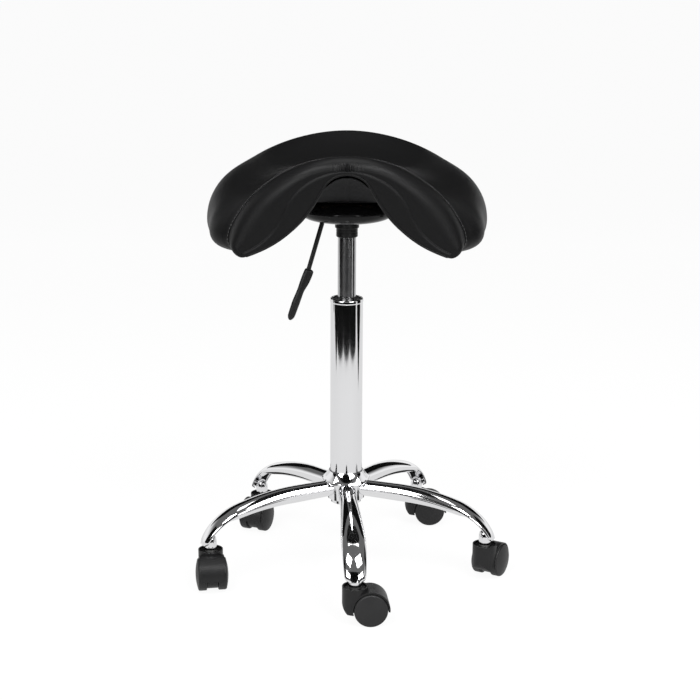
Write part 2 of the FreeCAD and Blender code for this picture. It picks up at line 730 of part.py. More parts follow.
def make_pivot_pin():
    """Headed pin through both lugs."""
    reach = LUG_SPACING / 2 + LUG_THICKNESS / 2
    shank = cross_rod(PIVOT_RADIUS, LEVER_PIVOT_X, pivot_z, -reach - 1, reach)
    head = cross_rod(PIVOT_RADIUS * 1.6, LEVER_PIVOT_X, pivot_z, reach, reach + 1.5)
    return shank.fuse(head).removeSplitter()


def make_bolts():
    """Four bolts up through the seat plate."""
    bolts = []
    for x, y in corner_points(BOLT_SPACING):
        head = disc(BOLT_HEAD_RADIUS, seat_plate_foot - BOLT_HEAD_HEIGHT, seat_plate_foot, x, y)
        shank = disc(BOLT_RADIUS, seat_plate_foot, seat_plate_foot + BOLT_LENGTH, x, y)
        bolts.append(head.fuse(shank).removeSplitter())
    return Part.makeCompound(bolts)


def make_nuts():
    """Four threaded inserts sunk into the foot of the mounting block."""
    nuts = []
    top = seat_plate_head + NUT_HEIGHT
    for x, y in corner_points(BOLT_SPACING):
        barrel = disc(NUT_BARREL_RADIUS, seat_plate_head, top, x, y)
        flange = disc(NUT_FLANGE_RADIUS, seat_plate_head, seat_plate_head + NUT_FLANGE_THICKNESS, x, y)
        bore = disc(BOLT_RADIUS, seat_plate_head, top, x, y)
        nuts.append(barrel.fuse(flange).removeSplitter().cut(bore))
    return Part.makeCompound(nuts)


def lever_point(distance):
    """Point down the lever's rod from its pivot."""
    return Vector(LEVER_PIVOT_X - distance * sin_deg(LEVER_LEAN), 0, pivot_z - distance * cos_deg(LEVER_LEAN))


def make_lever():
    """Bent rod: boss on the pivot, finger over the release pin, leg down to the handle."""
    boss_half = (LUG_SPACING - LUG_THICKNESS) / 2 - 0.3
    boss = cross_rod(LEVER_BOSS_RADIUS, LEVER_PIVOT_X, pivot_z, -boss_half, boss_half)
    finger_length = LEVER_FINGER_OVERRUN - LEVER_PIVOT_X
    finger = Part.makeCylinder(LEVER_FINGER_RADIUS, finger_length, Vector(LEVER_PIVOT_X, 0, finger_z), AXIS_X)
    direction = lever_point(1.0) - lever_point(0.0)
    leg = Part.makeCylinder(LEVER_RADIUS, LEVER_LENGTH, lever_point(0.0), direction)
    lever = joined([boss, finger, leg])
    bore = PIVOT_RADIUS + RUNNING_GAP
    return lever.cut(cross_rod(bore, LEVER_PIVOT_X, pivot_z, -LUG_SPACING, LUG_SPACING))


def paddle_wire(inset, y):
    """Outline of the handle at a depth, drawn in by the inset."""
    start = lever_point(LEVER_LENGTH - HANDLE_GRIP)
    down = Vector(-sin_deg(HANDLE_LEAN), 0, -cos_deg(HANDLE_LEAN))
    side = Vector(cos_deg(HANDLE_LEAN), 0, -sin_deg(HANDLE_LEAN))
    half = HANDLE_WIDTH / 2 - inset
    right = HANDLE_TIP_WIDTH - HANDLE_WIDTH / 2 - inset
    corner = HANDLE_CORNER
    step = HANDLE_LENGTH * HANDLE_STEP
    end = HANDLE_LENGTH - HANDLE_TIP_WIDTH / 2

    def at(distance, offset):
        return start + down * distance + side * offset + AXIS_Y * y

    ease = corner * (1 - math.sqrt(0.5))
    edges = [
        Part.LineSegment(at(inset, corner - half), at(inset, half - corner)),
        Part.Arc(at(inset, half - corner), at(inset + ease, half - ease), at(inset + corner, half)),
        Part.LineSegment(at(inset + corner, half), at(step - corner, half)),
        Part.Arc(at(step - corner, half), at(step - ease, half - ease), at(step, half - corner)),
        Part.LineSegment(at(step, half - corner), at(step + corner, right)),
        Part.LineSegment(at(step + corner, right), at(end, right)),
        Part.Arc(at(end, right), at(HANDLE_LENGTH - inset, (right - half) / 2), at(end, -half)),
        Part.LineSegment(at(end, -half), at(inset + corner, -half)),
        Part.Arc(at(inset + corner, -half), at(inset + ease, ease - half), at(inset, corner - half)),
    ]
    return Part.Wire([edge.toShape() for edge in edges])


def make_handle():
    """Flat moulded paddle on the lever's end, stepped on its inner edge, with a round tip."""
    face_y = HANDLE_THICKNESS / 2
    rim_y = face_y - HANDLE_BEVEL
    layers = ((HANDLE_BEVEL, -face_y), (0.0, -rim_y), (0.0, rim_y), (HANDLE_BEVEL, face_y))
    paddle = Part.makeLoft([paddle_wire(inset, y) for inset, y in layers], True, True)
    leg = Part.makeCylinder(LEVER_RADIUS, LEVER_LENGTH, lever_point(0.0), lever_point(1.0) - lever_point(0.0))
    return largest(paddle.cut(leg))


def make_hood():
    """Caster body: collar round the stem, web between the wheels and a fender over them."""
    axle_z = WHEEL_RADIUS
    inner = WHEEL_RADIUS + WHEEL_GAP
    outer = inner + HOOD_WALL
    half = WHEEL_TREAD_EDGE
    fender = cross_rod(outer, CASTER_TRAIL, axle_z, -half, half)
    fender = fender.cut(box(-outer, CASTER_TRAIL + outer + 1, -half, half, axle_z - outer, axle_z - HOOD_TAIL_DROP))
    collar = disc(CASTER_COLLAR_RADIUS, HOOD_CHIN_RADIUS, CASTER_HEIGHT)
    chin_z = HOOD_CHIN_RADIUS * 2 - 4
    chin_x = -CASTER_COLLAR_RADIUS
    corner = Part.Wire([
        Part.Arc(
            Vector(chin_x, 0, chin_z),
            Vector(chin_x + HOOD_CHIN_RADIUS * 0.293, 0, chin_z - HOOD_CHIN_RADIUS * 0.707),
            Vector(chin_x + HOOD_CHIN_RADIUS, 0, chin_z - HOOD_CHIN_RADIUS),
        ).toShape(),
        Part.LineSegment(
            Vector(chin_x + HOOD_CHIN_RADIUS, 0, chin_z - HOOD_CHIN_RADIUS), Vector(chin_x - 5, 0, 0)
        ).toShape(),
        Part.LineSegment(Vector(chin_x - 5, 0, 0), Vector(chin_x - 5, 0, chin_z)).toShape(),
        Part.LineSegment(Vector(chin_x - 5, 0, chin_z), Vector(chin_x, 0, chin_z)).toShape(),
    ])
    web = cross_rod(WHEEL_RADIUS - HOOD_TAIL_DROP, CASTER_TRAIL, axle_z, -HOOD_WEB, HOOD_WEB)
    body = joined([collar, fender, web])
    chin = Part.Face(corner)
    chin.translate(Vector(0, -half * 2, 0))
    body = body.cut(chin.extrude(Vector(0, half * 4, 0)))
    for side in (-1, 1):
        low, high = sorted((side * HOOD_WEB, side * (half + WHEEL_DOME)))
        body = body.cut(cross_rod(inner, CASTER_TRAIL, axle_z, low, high))
    body = body.cut(disc(CASTER_COLLAR_RADIUS - COLLAR_RECESS_WALL, CASTER_HEIGHT - COLLAR_RECESS_DEPTH, CASTER_HEIGHT))
    stem_foot = CASTER_HEIGHT - COLLAR_RECESS_DEPTH - STEM_LENGTH_DOWN
    body = body.cut(disc(STEM_RADIUS + RUNNING_GAP, stem_foot - RUNNING_GAP, CASTER_HEIGHT))
    body = body.cut(cross_rod(AXLE_RADIUS, CASTER_TRAIL, axle_z, -half, half))
    return largest(body.removeSplitter())


def make_stem():
    """Steel stem: shoulder on the collar, upper end gripped in the arm's sleeve."""
    recess_floor = CASTER_HEIGHT - COLLAR_RECESS_DEPTH
    stem_foot = recess_floor - STEM_LENGTH_DOWN
    shaft = disc(STEM_RADIUS, stem_foot, sleeve_foot + STEM_LENGTH_UP)
    top = [e for e in shaft.Edges if abs(e.BoundBox.ZMin - shaft.BoundBox.ZMax) < 0.01]
    shaft = shaft.makeChamfer(STEM_RADIUS / 5, top)
    shoulder = disc(STEM_SHOULDER_RADIUS, recess_floor + SWIVEL_GAP / 2, sleeve_foot)
    return shaft.fuse(shoulder).removeSplitter()


def make_axle():
    """Pin across the web that both wheels turn on."""
    reach = WHEEL_TREAD_EDGE + WHEEL_DOME / 2 - AXLE_END_GAP
    return cross_rod(AXLE_RADIUS, CASTER_TRAIL, WHEEL_RADIUS, -reach, reach)


def make_wheel(side):
    """Wheel with a flat tread, a domed outer face, a hub and a recessed inner face."""
    near = HOOD_WEB + WHEEL_GAP
    tread = WHEEL_TREAD_EDGE
    crown = tread + WHEEL_DOME
    shoulder_r = WHEEL_RADIUS - WHEEL_EDGE_ROUND
    rim_inner = WHEEL_RADIUS - WHEEL_RIM_WALL
    floor = near + WHEEL_RECESS_DEPTH
    bore = AXLE_RADIUS + RUNNING_GAP
    blind = tread + WHEEL_DOME / 2 - AXLE_END_GAP + RUNNING_GAP
    half_round = WHEEL_EDGE_ROUND * 0.293
    profile = [
        (bore, near),
        (WHEEL_HUB_RADIUS, near),
        (WHEEL_HUB_RADIUS + 1.0, floor),
        (rim_inner - 1.0, floor),
        (rim_inner, near),
        (WHEEL_RADIUS - 0.8, near),
        (WHEEL_RADIUS, near + 0.8),
        (WHEEL_RADIUS, tread),
        (WHEEL_RADIUS - half_round, tread + WHEEL_EDGE_ROUND * 0.707, "arc"),
        (shoulder_r, tread + WHEEL_EDGE_ROUND),
        (shoulder_r * 0.55, crown - (crown - tread - WHEEL_EDGE_ROUND) * 0.28, "arc"),
        (WHEEL_CAP_RADIUS, crown),
        (0, crown),
        (0, blind),
        (bore, blind),
    ]
    wheel = spun(profile)
    wheel.rotate(Vector(), AXIS_X, -90 * side)
    wheel.translate(Vector(CASTER_TRAIL, 0, WHEEL_RADIUS))
    return wheel


def blend(low, high, share):
    """Value or point part of the way between two."""
    if isinstance(low, tuple):
        return tuple(blend(a, b, share) for a, b in zip(low, high))
    return low + (high - low) * share


def through_three(first, middle, last, y):
    """Quadratic through three key values at their places along the seat."""
    if isinstance(first, tuple):
        return tuple(through_three(a, b, c, y) for a, b, c in zip(first, middle, last))
    y0, y1, y2 = POMMEL[0], MIDDLE[0], CANTLE[0]
    return (
        first * (y - y1) * (y - y2) / ((y0 - y1) * (y0 - y2))
        + middle * (y - y0) * (y - y2) / ((y1 - y0) * (y1 - y2))
        + last * (y - y0) * (y - y1) / ((y2 - y0) * (y2 - y1))
    )


def seat_section(y):
    """Crown, shoulder, outer foot, inner foot, haunch and apex of the saddle at a place."""
    held = min(max(y, POMMEL[0]), CANTLE[0])
    crown, shoulder, outer, inner, haunch, apex = (
        through_three(POMMEL[i], MIDDLE[i], CANTLE[i], held) for i in range(1, 7)
    )
    if y < POMMEL[0]:
        depth = (POMMEL[0] - y) / FRONT_ROLL
    elif y > CANTLE[0]:
        depth = (y - CANTLE[0]) / REAR_ROLL
        shrink = 1.0 - 0.22 * min(1.0, depth) ** 2
        shoulder = (shoulder[0] * shrink, shoulder[1])
        outer = (outer[0] * shrink, blend(outer[1], shoulder[1], 0.35 * depth))
        inner = (inner[0] * shrink, blend(inner[1], haunch[1], 0.35 * depth))
        haunch = (haunch[0] * shrink, haunch[1])
    else:
        depth = 0.0
    keep = EDGE_SHARE + (1.0 - EDGE_SHARE) * math.sqrt(max(0.0, 1.0 - min(1.0, depth) ** 2))
    root = blend(haunch, inner, 0.4)
    crown = blend(apex, crown, keep)
    shoulder = blend(root, shoulder, keep)
    outer = blend(inner, outer, keep)
    return crown, shoulder, outer, inner, haunch, apex


def seat_lean(y):
    """Tilt of the section plane, so that the seat's ends slope under it."""
    if y < 0:
        return FRONT_LEAN * y / SEAT_FRONT
    return REAR_LEAN * y / SEAT_REAR


def arc_on(start, heading, end):
    """Middle and final heading of the arc that leaves a point on a heading and ends at another."""
    dx = end[0] - start[0]
    dz = end[1] - start[1]
    chord = math.hypot(dx, dz)
    half_turn = math.atan2(dz, dx) - heading
    half_turn = math.atan2(math.sin(half_turn), math.cos(half_turn))
    sagitta = chord / 2 * math.tan(half_turn / 2)
    middle = ((start[0] + end[0]) / 2 + sagitta * dz / chord, (start[1] + end[1]) / 2 - sagitta * dx / chord)
    return middle, heading + 2 * half_turn


def moved(point, heading, distance):
    """Point shifted to the right of a heading."""
    return (point[0] + distance * math.sin(heading), point[1] - distance * math.cos(heading))


def half_section(y, inset):
    """Right half of a section as points and arc middles, drawn in by the inset."""
    crown, shoulder, outer, inner, haunch, apex = seat_section(y)
    top_turn = -2 * math.atan2(crown - shoulder[1], shoulder[0])
    side_turn = arc_on(shoulder, top_turn, outer)[1]
    foot_turn = arc_on(outer, side_turn, inner)[1]
    roof_turn = -2 * math.atan2(apex - haunch[1], haunch[0])
    flank_turn = arc_on(haunch, roof_turn, inner)[1]
    out_foot = (-math.sin(foot_turn), math.cos(foot_turn))
    out_flank = (math.sin(flank_turn), -math.cos(flank_turn))
    spread = 1 + out_foot[0] * out_flank[0] + out_foot[1] * out_flank[1]
    scale = inset / max(spread, 0.35)
    inner_in = tuple(inner[i] - scale * (out_foot[i] + out_flank[i]) for i in (0, 1))
    shoulder_in = moved(shoulder, top_turn, inset)
    outer_in = moved(outer, side_turn, inset)
    haunch_in = moved(haunch, roof_turn, -inset)
    return {
        "crown": (0.0, crown - inset),
        "shoulder": shoulder_in,
        "side": arc_on(shoulder_in, top_turn, outer_in)[0],
        "outer": outer_in,
        "foot": arc_on(outer_in, side_turn, inner_in)[0],
        "inner": inner_in,
        "flank": arc_on(haunch_in, roof_turn, inner_in)[0],
        "haunch": haunch_in,
        "apex": (0.0, apex + inset),
        "flank_turn": flank_turn,
    }


def in_space(point, y, side=1.0):
    """Point of a section in space, on the section's leaning plane."""
    lean = math.tan(math.radians(seat_lean(y)))
    return Vector(point[0] * side, y - point[1] * lean, seat_plate_head + point[1])


def arcs(y, chain):
    """Wire through a closed chain of three-point arcs and straight lines."""
    edges = []
    for entry in chain:
        points = [in_space(point, y, side) for point, side in entry]
        if len(points) == 3:
            edges.append(Part.Arc(*points).toShape())
        else:
            edges.append(Part.LineSegment(*points).toShape())
    return Part.Wire(edges)


def section_wire(y, inset=0.0, place=None):
    """Closed outline of the padded seat at a place along it."""
    h = half_section(y, inset)
    chain = [
        [(h["shoulder"], -1), (h["crown"], 1), (h["shoulder"], 1)],
        [(h["shoulder"], 1), (h["side"], 1), (h["outer"], 1)],
        [(h["outer"], 1), (h["foot"], 1), (h["inner"], 1)],
        [(h["inner"], 1), (h["flank"], 1), (h["haunch"], 1)],
        [(h["haunch"], 1), (h["apex"], 1), (h["haunch"], -1)],
        [(h["haunch"], -1), (h["flank"], -1), (h["inner"], -1)],
        [(h["inner"], -1), (h["foot"], -1), (h["outer"], -1)],
        [(h["outer"], -1), (h["side"], -1), (h["shoulder"], -1)],
    ]
    wire = arcs(y, chain)
    if place is not None:
        wire.translate(Vector(0, place - y, 0))
    return wire


def seat_places():
    """Stations along the seat: close together where its ends roll over."""
    middle = [POMMEL[0] + (CANTLE[0] - POMMEL[0]) * i / (SEAT_STATIONS - 5) for i in range(SEAT_STATIONS - 4)]
    front = [SEAT_FRONT, blend(SEAT_FRONT, POMMEL[0], 0.2), blend(SEAT_FRONT, POMMEL[0], 0.55)]
    rear = [blend(CANTLE[0], SEAT_REAR, 0.45), blend(CANTLE[0], SEAT_REAR, 0.8), SEAT_REAR]
    return front + middle + rear


def saddle_loft(inset):
    """Padded seat form, drawn in on every side by the inset."""
    places = seat_places()
    wires = []
    for y in places:
        place = y
        if y == places[0]:
            place = y + inset
        if y == places[-1]:
            place = y - inset
        wires.append(section_wire(y, inset, place))
    return Part.makeLoft(wires, True, True)


def shell_block():
    """Everything below the moulded shell's upper face."""
    lift = SKIN + SHELL_THICKNESS
    places = seat_places()
    wires = []
    for y in places:
        h = half_section(y, lift)
        run = SHELL_THICKNESS * 6
        turn = h["flank_turn"]
        wing = (h["inner"][0] + run * math.cos(turn), h["inner"][1] + run * math.sin(turn))
        low = (wing[0], MIDDLE[4][1] - run * 2)
        chain = [
            [(h["haunch"], -1), (h["apex"], 1), (h["haunch"], 1)],
            [(h["haunch"], 1), (h["flank"], 1), (h["inner"], 1)],
            [(h["inner"], 1), (wing, 1)],
            [(wing, 1), (low, 1)],
            [(low, 1), (low, -1)],
            [(low, -1), (wing, -1)],
            [(wing, -1), (h["inner"], -1)],
            [(h["inner"], -1), (h["flank"], -1), (h["haunch"], -1)],
        ]
        wire = arcs(y, chain)
        if y == places[0]:
            wire.translate(Vector(0, -lift, 0))
        if y == places[-1]:
            wire.translate(Vector(0, lift, 0))
        wires.append(wire)
    return Part.makeLoft(wires, True, True)


def make_block(saddle):
    """Plywood block on the seat plate, its top shaped to the arch of the shell."""
    top = seat_plate_head + MIDDLE[1] * 0.7
    block = rounded_plate(2 * BLOCK_HALF_WIDTH, 2 * BLOCK_HALF_LENGTH, BLOCK_CORNER, seat_plate_head, top)
    block = block.cut(saddle)
    block = min(block.Solids, key=lambda solid: solid.CenterOfMass.z)
    for x, y in corner_points(BOLT_SPACING):
        block = block.cut(disc(NUT_BARREL_RADIUS, seat_plate_head, seat_plate_head + BOLT_LENGTH, x, y))
        block = block.cut(disc(NUT_FLANGE_RADIUS, seat_plate_head, seat_plate_head + NUT_FLANGE_THICKNESS, x, y))
    return block


def arc_point(start, heading, end, share):
    """Point part of the way along the arc that leaves a point on a heading, and the heading there."""
    half_turn = math.atan2(end[1] - start[1], end[0] - start[0]) - heading
    radius = math.dist(start, end) / (2 * math.sin(half_turn))
    turned = heading + 2 * half_turn * share
    x = start[0] + radius * (math.sin(turned) - math.sin(heading))
    z = start[1] - radius * (math.cos(turned) - math.cos(heading))
    return (x, z), turned


def cloth_wire(y):
    """Thin closed band under the arch, pulled down between the notch and the dish."""
    h = half_section(y, 0.0)
    apex = h["apex"][1]
    roof_turn = -2 * math.atan2(apex - h["haunch"][1], h["haunch"][0])
    foot, foot_turn = arc_point(h["haunch"], roof_turn, h["inner"], CLOTH_REACH)
    haunch = h["haunch"]
    slack = max(0.0, min(1.0, (abs(SEAT_FRONT) - abs(y)) / (abs(SEAT_FRONT) - BLOCK_HALF_LENGTH)))
    apex = blend(apex, CLOTH_LOW, slack)
    haunch = blend(haunch, (CLOTH_FOLD, CLOTH_LOW - CLOTH_SAG), slack)
    bands = []
    for gap in (CLOTH_GAP, CLOTH_GAP + CLOTH):
        top = (0.0, apex - gap)
        shoulder = (haunch[0] - gap * 0.6, haunch[1] - gap * 0.8)
        end = moved(foot, foot_turn, gap)
        turn = -2 * math.atan2(top[1] - shoulder[1], shoulder[0])
        sag = blend(shoulder, end, 0.5)
        sag = moved(sag, math.atan2(end[1] - shoulder[1], end[0] - shoulder[0]), CLOTH_SAG)
        bands.append((top, shoulder, sag, end))
    upper, lower = bands
    chain = [
        [(upper[1], -1), (upper[0], 1), (upper[1], 1)],
        [(upper[1], 1), (upper[2], 1), (upper[3], 1)],
        [(upper[3], 1), (lower[3], 1)],
        [(lower[3], 1), (lower[2], 1), (lower[1], 1)],
        [(lower[1], 1), (lower[0], 1), (lower[1], -1)],
        [(lower[1], -1), (lower[2], -1), (lower[3], -1)],
        [(lower[3], -1), (upper[3], -1)],
        [(upper[3], -1), (upper[2], -1), (upper[1], -1)],
    ]
    return arcs(y, chain)


def make_dust_cover(saddle):
    """Dust cloth under the arch, open round the seat plate."""
    front = SEAT_FRONT + CLOTH_INSET
    rear = SEAT_REAR - CLOTH_INSET
    edge = BLOCK_HALF_LENGTH + CLOTH
    places = [front, blend(front, -edge, 0.5), -edge, 0.0, edge, blend(edge, rear, 0.5), rear]
    cloth = Part.makeLoft([cloth_wire(y) for y in places], True, True)
    hole = rounded_plate(
        2 * (PLATE_SIDE / 2 + CLOTH), 2 * (BLOCK_HALF_LENGTH + CLOTH), BLOCK_CORNER, dish_foot, seat_plate_head + 60
    )
    return largest(cloth.cut(hole).cut(saddle))


def build():
    """Every node of the stool by name."""
    nodes = {}
    arm, arm_outer = make_arm()
    sleeve = make_sleeve()
    nodes["hub_tube"] = make_hub_tube()
    nodes["hub_cover"] = make_hub_cover(arm_outer)
    nodes["caster_sleeves"] = Part.makeCompound([placed(sleeve, angle) for angle in arm_angles])
    nodes["column_tube"] = make_column()
    nodes["guide_bush"] = make_guide_bush()
    nodes["column_end_plate"] = make_end_plate()
    nodes["bearing_washers"] = make_bearing_washers()
    nodes["ball_cage"] = make_ball_cage()
    nodes["rubber_buffer"] = ring(BUFFER_RADIUS, ROD_RADIUS + 0.3, bearing_head + RUNNING_GAP, buffer_head)
    nodes["clip_washer"] = ring(
        CLIP_WASHER_RADIUS, ROD_NECK_RADIUS + RUNNING_GAP, plate_foot - CLIP_WASHER_THICKNESS, plate_foot
    )
    nodes["retaining_clip"] = make_clip()
    nodes["piston_rod"] = make_piston_rod()
    nodes["piston"] = make_piston()
    nodes["lift_cylinder"] = make_cylinder()
    nodes["cylinder_gland"] = make_gland()
    nodes["release_pin"] = make_release_pin()
    nodes["socket_collar"] = make_socket_collar()
    nodes["taper_socket"] = make_taper_socket()
    nodes["dish_cover"] = make_dish()
    nodes["seat_plate"] = make_seat_plate()
    nodes["lever_pivot_pin"] = make_pivot_pin()
    nodes["plate_bolts"] = make_bolts()
    nodes["plate_nuts"] = make_nuts()
    nodes["lever_rod"] = make_lever()
    nodes["lever_handle"] = make_handle()
    saddle = saddle_loft(0.0)
    core = saddle_loft(SKIN)
    below = shell_block()
    nodes["seat_cover"] = largest(saddle.cut(core))
    nodes["seat_shell"] = largest(core.common(below))
    nodes["seat_foam"] = largest(core.cut(below))
    nodes["mounting_block"] = make_block(saddle)
    nodes["dust_cover"] = make_dust_cover(saddle)

    hood = make_hood()
    stem = make_stem()
    axle = make_axle()
    wheels = {"left": make_wheel(1), "right": make_wheel(-1)}
    for index, angle in enumerate(arm_angles):
        number = index + 1
        nodes[f"arm_{number}"] = placed(arm, angle)
        centre = Vector(BASE_STEM_RADIUS * cos_deg(angle), BASE_STEM_RADIUS * sin_deg(angle), 0)
        pieces = {"hood": hood, "stem": stem, "axle": axle, "wheel_left": wheels["left"], "wheel_right": wheels["right"]}
        for name, shape in pieces.items():
            piece = shape.copy()
            piece.rotate(Vector(), AXIS_Z, CASTER_HEADINGS[index])
            piece.translate(centre)
            nodes[f"caster_{name}_{number}"] = piece
    return nodes


def main():
    os.makedirs("parts", exist_ok=True)
    for name, shape in build().items():
        shape.exportStep(os.path.join("parts", name + ".step"))
        extent = shape.BoundBox
        print(
            f"{name}: solids {len(shape.Solids)} valid {shape.isValid()} volume {shape.Volume:.0f}"
            f" z {extent.ZMin:.1f} to {extent.ZMax:.1f} x {extent.XLength:.1f} y {extent.YLength:.1f}"
        )


main()
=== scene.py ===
import math

import bmesh
import bpy
import numpy as np
from bpy.props import FloatProperty, FloatVectorProperty, IntProperty, PointerProperty
from bpy.types import Operator, Panel, PropertyGroup
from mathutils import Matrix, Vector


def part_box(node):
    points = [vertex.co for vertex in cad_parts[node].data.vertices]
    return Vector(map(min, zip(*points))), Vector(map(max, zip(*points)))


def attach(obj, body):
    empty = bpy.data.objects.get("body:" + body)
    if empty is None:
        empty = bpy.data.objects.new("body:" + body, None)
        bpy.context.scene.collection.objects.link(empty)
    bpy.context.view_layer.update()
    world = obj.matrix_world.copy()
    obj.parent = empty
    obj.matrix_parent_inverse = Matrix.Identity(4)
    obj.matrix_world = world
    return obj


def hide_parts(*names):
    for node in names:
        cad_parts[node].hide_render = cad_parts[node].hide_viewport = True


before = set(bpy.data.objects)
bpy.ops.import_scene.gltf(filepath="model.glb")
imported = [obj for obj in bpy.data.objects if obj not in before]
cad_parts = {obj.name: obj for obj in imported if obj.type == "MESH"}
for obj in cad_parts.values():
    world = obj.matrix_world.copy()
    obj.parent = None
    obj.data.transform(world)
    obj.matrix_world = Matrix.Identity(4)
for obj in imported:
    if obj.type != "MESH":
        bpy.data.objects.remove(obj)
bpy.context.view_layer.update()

bl_info = {
    "name": "Saddle stool",
    "version": (1, 0, 0),
    "blender": (4, 5, 0),
    "location": "3D View > Sidebar > Stool",
    "description": "Dresses a saddle stool with its padded seat, chrome base and studio",
    "category": "Object",
}

MM = 0.001
ARM_ANGLES = [math.radians(-86.4 + 72.0 * turn) for turn in range(5)]
PLATE_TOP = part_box("mounting_block")[0].z / MM
FULL_TURN = 2 * math.pi
MIRROR = np.array([-1.0, 1.0, 1.0])


# ---------------------------------------------------------------- sizes and colours


def length(name, description, default):
    """Property for a length, written in metres."""
    return FloatProperty(name=name, description=description, default=default, unit="LENGTH")


def colour(name, description, default):
    """Property for a colour, as linear values."""
    return FloatVectorProperty(
        name=name, description=description, subtype="COLOR", size=3, default=default, min=0.0, max=1.0
    )


class StoolSizes(PropertyGroup):
    """Sizes of the pieces that are drawn here."""

    grain: length("Grain size", "Width of one cell of the leather grain", 0.0011)
    stitch: length("Stitch length", "Length of one stitch of the topstitched seam", 0.0042)
    thread: length("Thread thickness", "Thickness of the seam's thread", 0.0009)
    welt: length("Welt radius", "Radius of the piping round the seat's edge", 0.0017)
    fold: length("Front roll", "Swell of the roll between the seam and the notch, before it is eased", 0.0060)
    pleats: IntProperty(
        name="Pleats", description="Gathers over the top of the notch", default=10, min=4, max=20
    )


class StoolColours(PropertyGroup):
    """Colours of the finishes."""

    leather: colour("Leather", "Black leatherette of the seat", (0.0045, 0.0045, 0.0047))
    plastic: colour("Nylon", "Black nylon of casters and handle", (0.0085, 0.0085, 0.0088))
    chrome: colour("Chrome", "Chrome plate of column and arms", (0.86, 0.86, 0.87))
    steel: colour("Steel", "Ground steel of the gas cylinder", (0.56, 0.56, 0.57))


def sizes():
    return bpy.context.scene.stool_sizes


def colours():
    return bpy.context.scene.stool_colours


# ---------------------------------------------------------------- meshes from grids

MERGE_DISTANCE = 0.00002
SLIVER_LENGTH = 0.000005
LONG_RUN = 12.0


def mesh_object(name, points, faces, smooth=True):
    """Object from points in millimetres and faces given by the numbers of their corners."""
    mesh = bpy.data.meshes.new(name)
    mesh.from_pydata((np.asarray(points, float) * MM).tolist(), [], faces)
    mesh.update()
    mesh.polygons.foreach_set("use_smooth", np.full(len(mesh.polygons), smooth))
    piece = bpy.data.objects.new(name, mesh)
    bpy.context.scene.collection.objects.link(piece)
    return piece


def grid_faces(rows, columns, close_rows=False, close_columns=False):
    """Four-cornered faces of a grid of points numbered row by row."""
    r = np.arange(rows if close_rows else rows - 1)
    c = np.arange(columns if close_columns else columns - 1)
    r, c = np.meshgrid(r, c, indexing="ij")
    nr, nc = (r + 1) % rows, (c + 1) % columns
    corners = [r * columns + c, r * columns + nc, nr * columns + nc, nr * columns + c]
    return np.stack([k.ravel() for k in corners], 1).tolist()


def welded(piece):
    """Merges doubled points and turns the faces outwards."""
    work = bmesh.new()
    work.from_mesh(piece.data)
    bmesh.ops.remove_doubles(work, verts=work.verts, dist=MERGE_DISTANCE)
    bmesh.ops.dissolve_degenerate(work, edges=work.edges, dist=SLIVER_LENGTH)
    bmesh.ops.recalc_face_normals(work, faces=work.faces)
    work.to_mesh(piece.data)
    work.free()
    piece.data.update()
    piece.data.polygons.foreach_set("use_smooth", np.full(len(piece.data.polygons), True))
    return piece


def grid_piece(name, grid, close_rows=False, extra=()):
    """Welded piece from a grid whose columns run round, with extra faces."""
    rows, columns = grid.shape[:2]
    faces = grid_faces(rows, columns, close_rows, True) + list(extra)
    return welded(mesh_object(name, grid.reshape(-1, 3), faces))


def rounded_profile(corners, steps=6):
    """Profile with its corners eased. Each corner is radius, height and easing; an easing of r
    replaces the corner by a curve through the points r before and r after it. A long straight run
    gets a point 1 mm inside each end, so that the shading of a curve doesn't spread along it."""
    points = np.array([c[:2] for c in corners], float)
    easing = [c[2] if len(c) > 2 else 0.0 for c in corners]
    out = []
    for i, point in enumerate(points):
        if easing[i] <= 0 or i in (0, len(points) - 1):
            out.append(point)
            continue
        back = points[i - 1] - point
        ahead = points[i + 1] - point
        a = point + back / np.linalg.norm(back) * easing[i]
        b = point + ahead / np.linalg.norm(ahead) * easing[i]
        t = np.linspace(0.0, 1.0, steps)[:, None]
        out.extend((1 - t) ** 2 * a + 2 * t * (1 - t) * point + t * t * b)
    line = [out[0]]
    for start, end in zip(out[:-1], out[1:]):
        run = np.linalg.norm(end - start)
        if run > LONG_RUN:
            line.append(start + (end - start) / run)
            line.append(end - (end - start) / run)
        line.append(end)
    return np.array(line)


def revolved(profile, around, first=0.0):
    """Grid of a surface of revolution: a profile point (r, z) becomes the circle (r cos a, r sin a, z)."""
    angle = np.linspace(0.0, FULL_TURN, around, endpoint=False) + first
    r, z = profile[:, 0, None], profile[:, 1, None]
    return np.stack([r * np.cos(angle), r * np.sin(angle), np.repeat(z, around, 1)], -1)


def turned(name, profile, around):
    """Piece turned from a closed profile."""
    return grid_piece(name, revolved(profile, around), True)


def ring_tube(path, radius, around):
    """Grid of a round tube along a closed path: the circle radius * (cos a, sin a) carried along it."""
    tangent = np.roll(path, -1, 0) - np.roll(path, 1, 0)
    tangent /= np.linalg.norm(tangent, axis=1)[:, None]
    side = np.cross(tangent, [0.0, 0.0, 1.0])
    side /= np.maximum(np.linalg.norm(side, axis=1), 1e-6)[:, None]
    up = np.cross(side, tangent)
    angle = np.linspace(0.0, FULL_TURN, around, endpoint=False)
    ring = np.cos(angle)[None, :, None] * side[:, None] + np.sin(angle)[None, :, None] * up[:, None]
    return path[:, None] + ring * radius


def normals_of(grid):
    """Unit normals of a grid of points, from the cross product of its two differences."""
    normal = np.cross(np.gradient(grid, axis=1), np.gradient(grid, axis=0))
    return normal / np.maximum(np.linalg.norm(normal, axis=2)[:, :, None], 1e-9)


def running_length(line):
    """Length of the line up to each of its points."""
    return np.concatenate([[0.0], np.cumsum(np.linalg.norm(np.diff(line, axis=0), axis=1))])


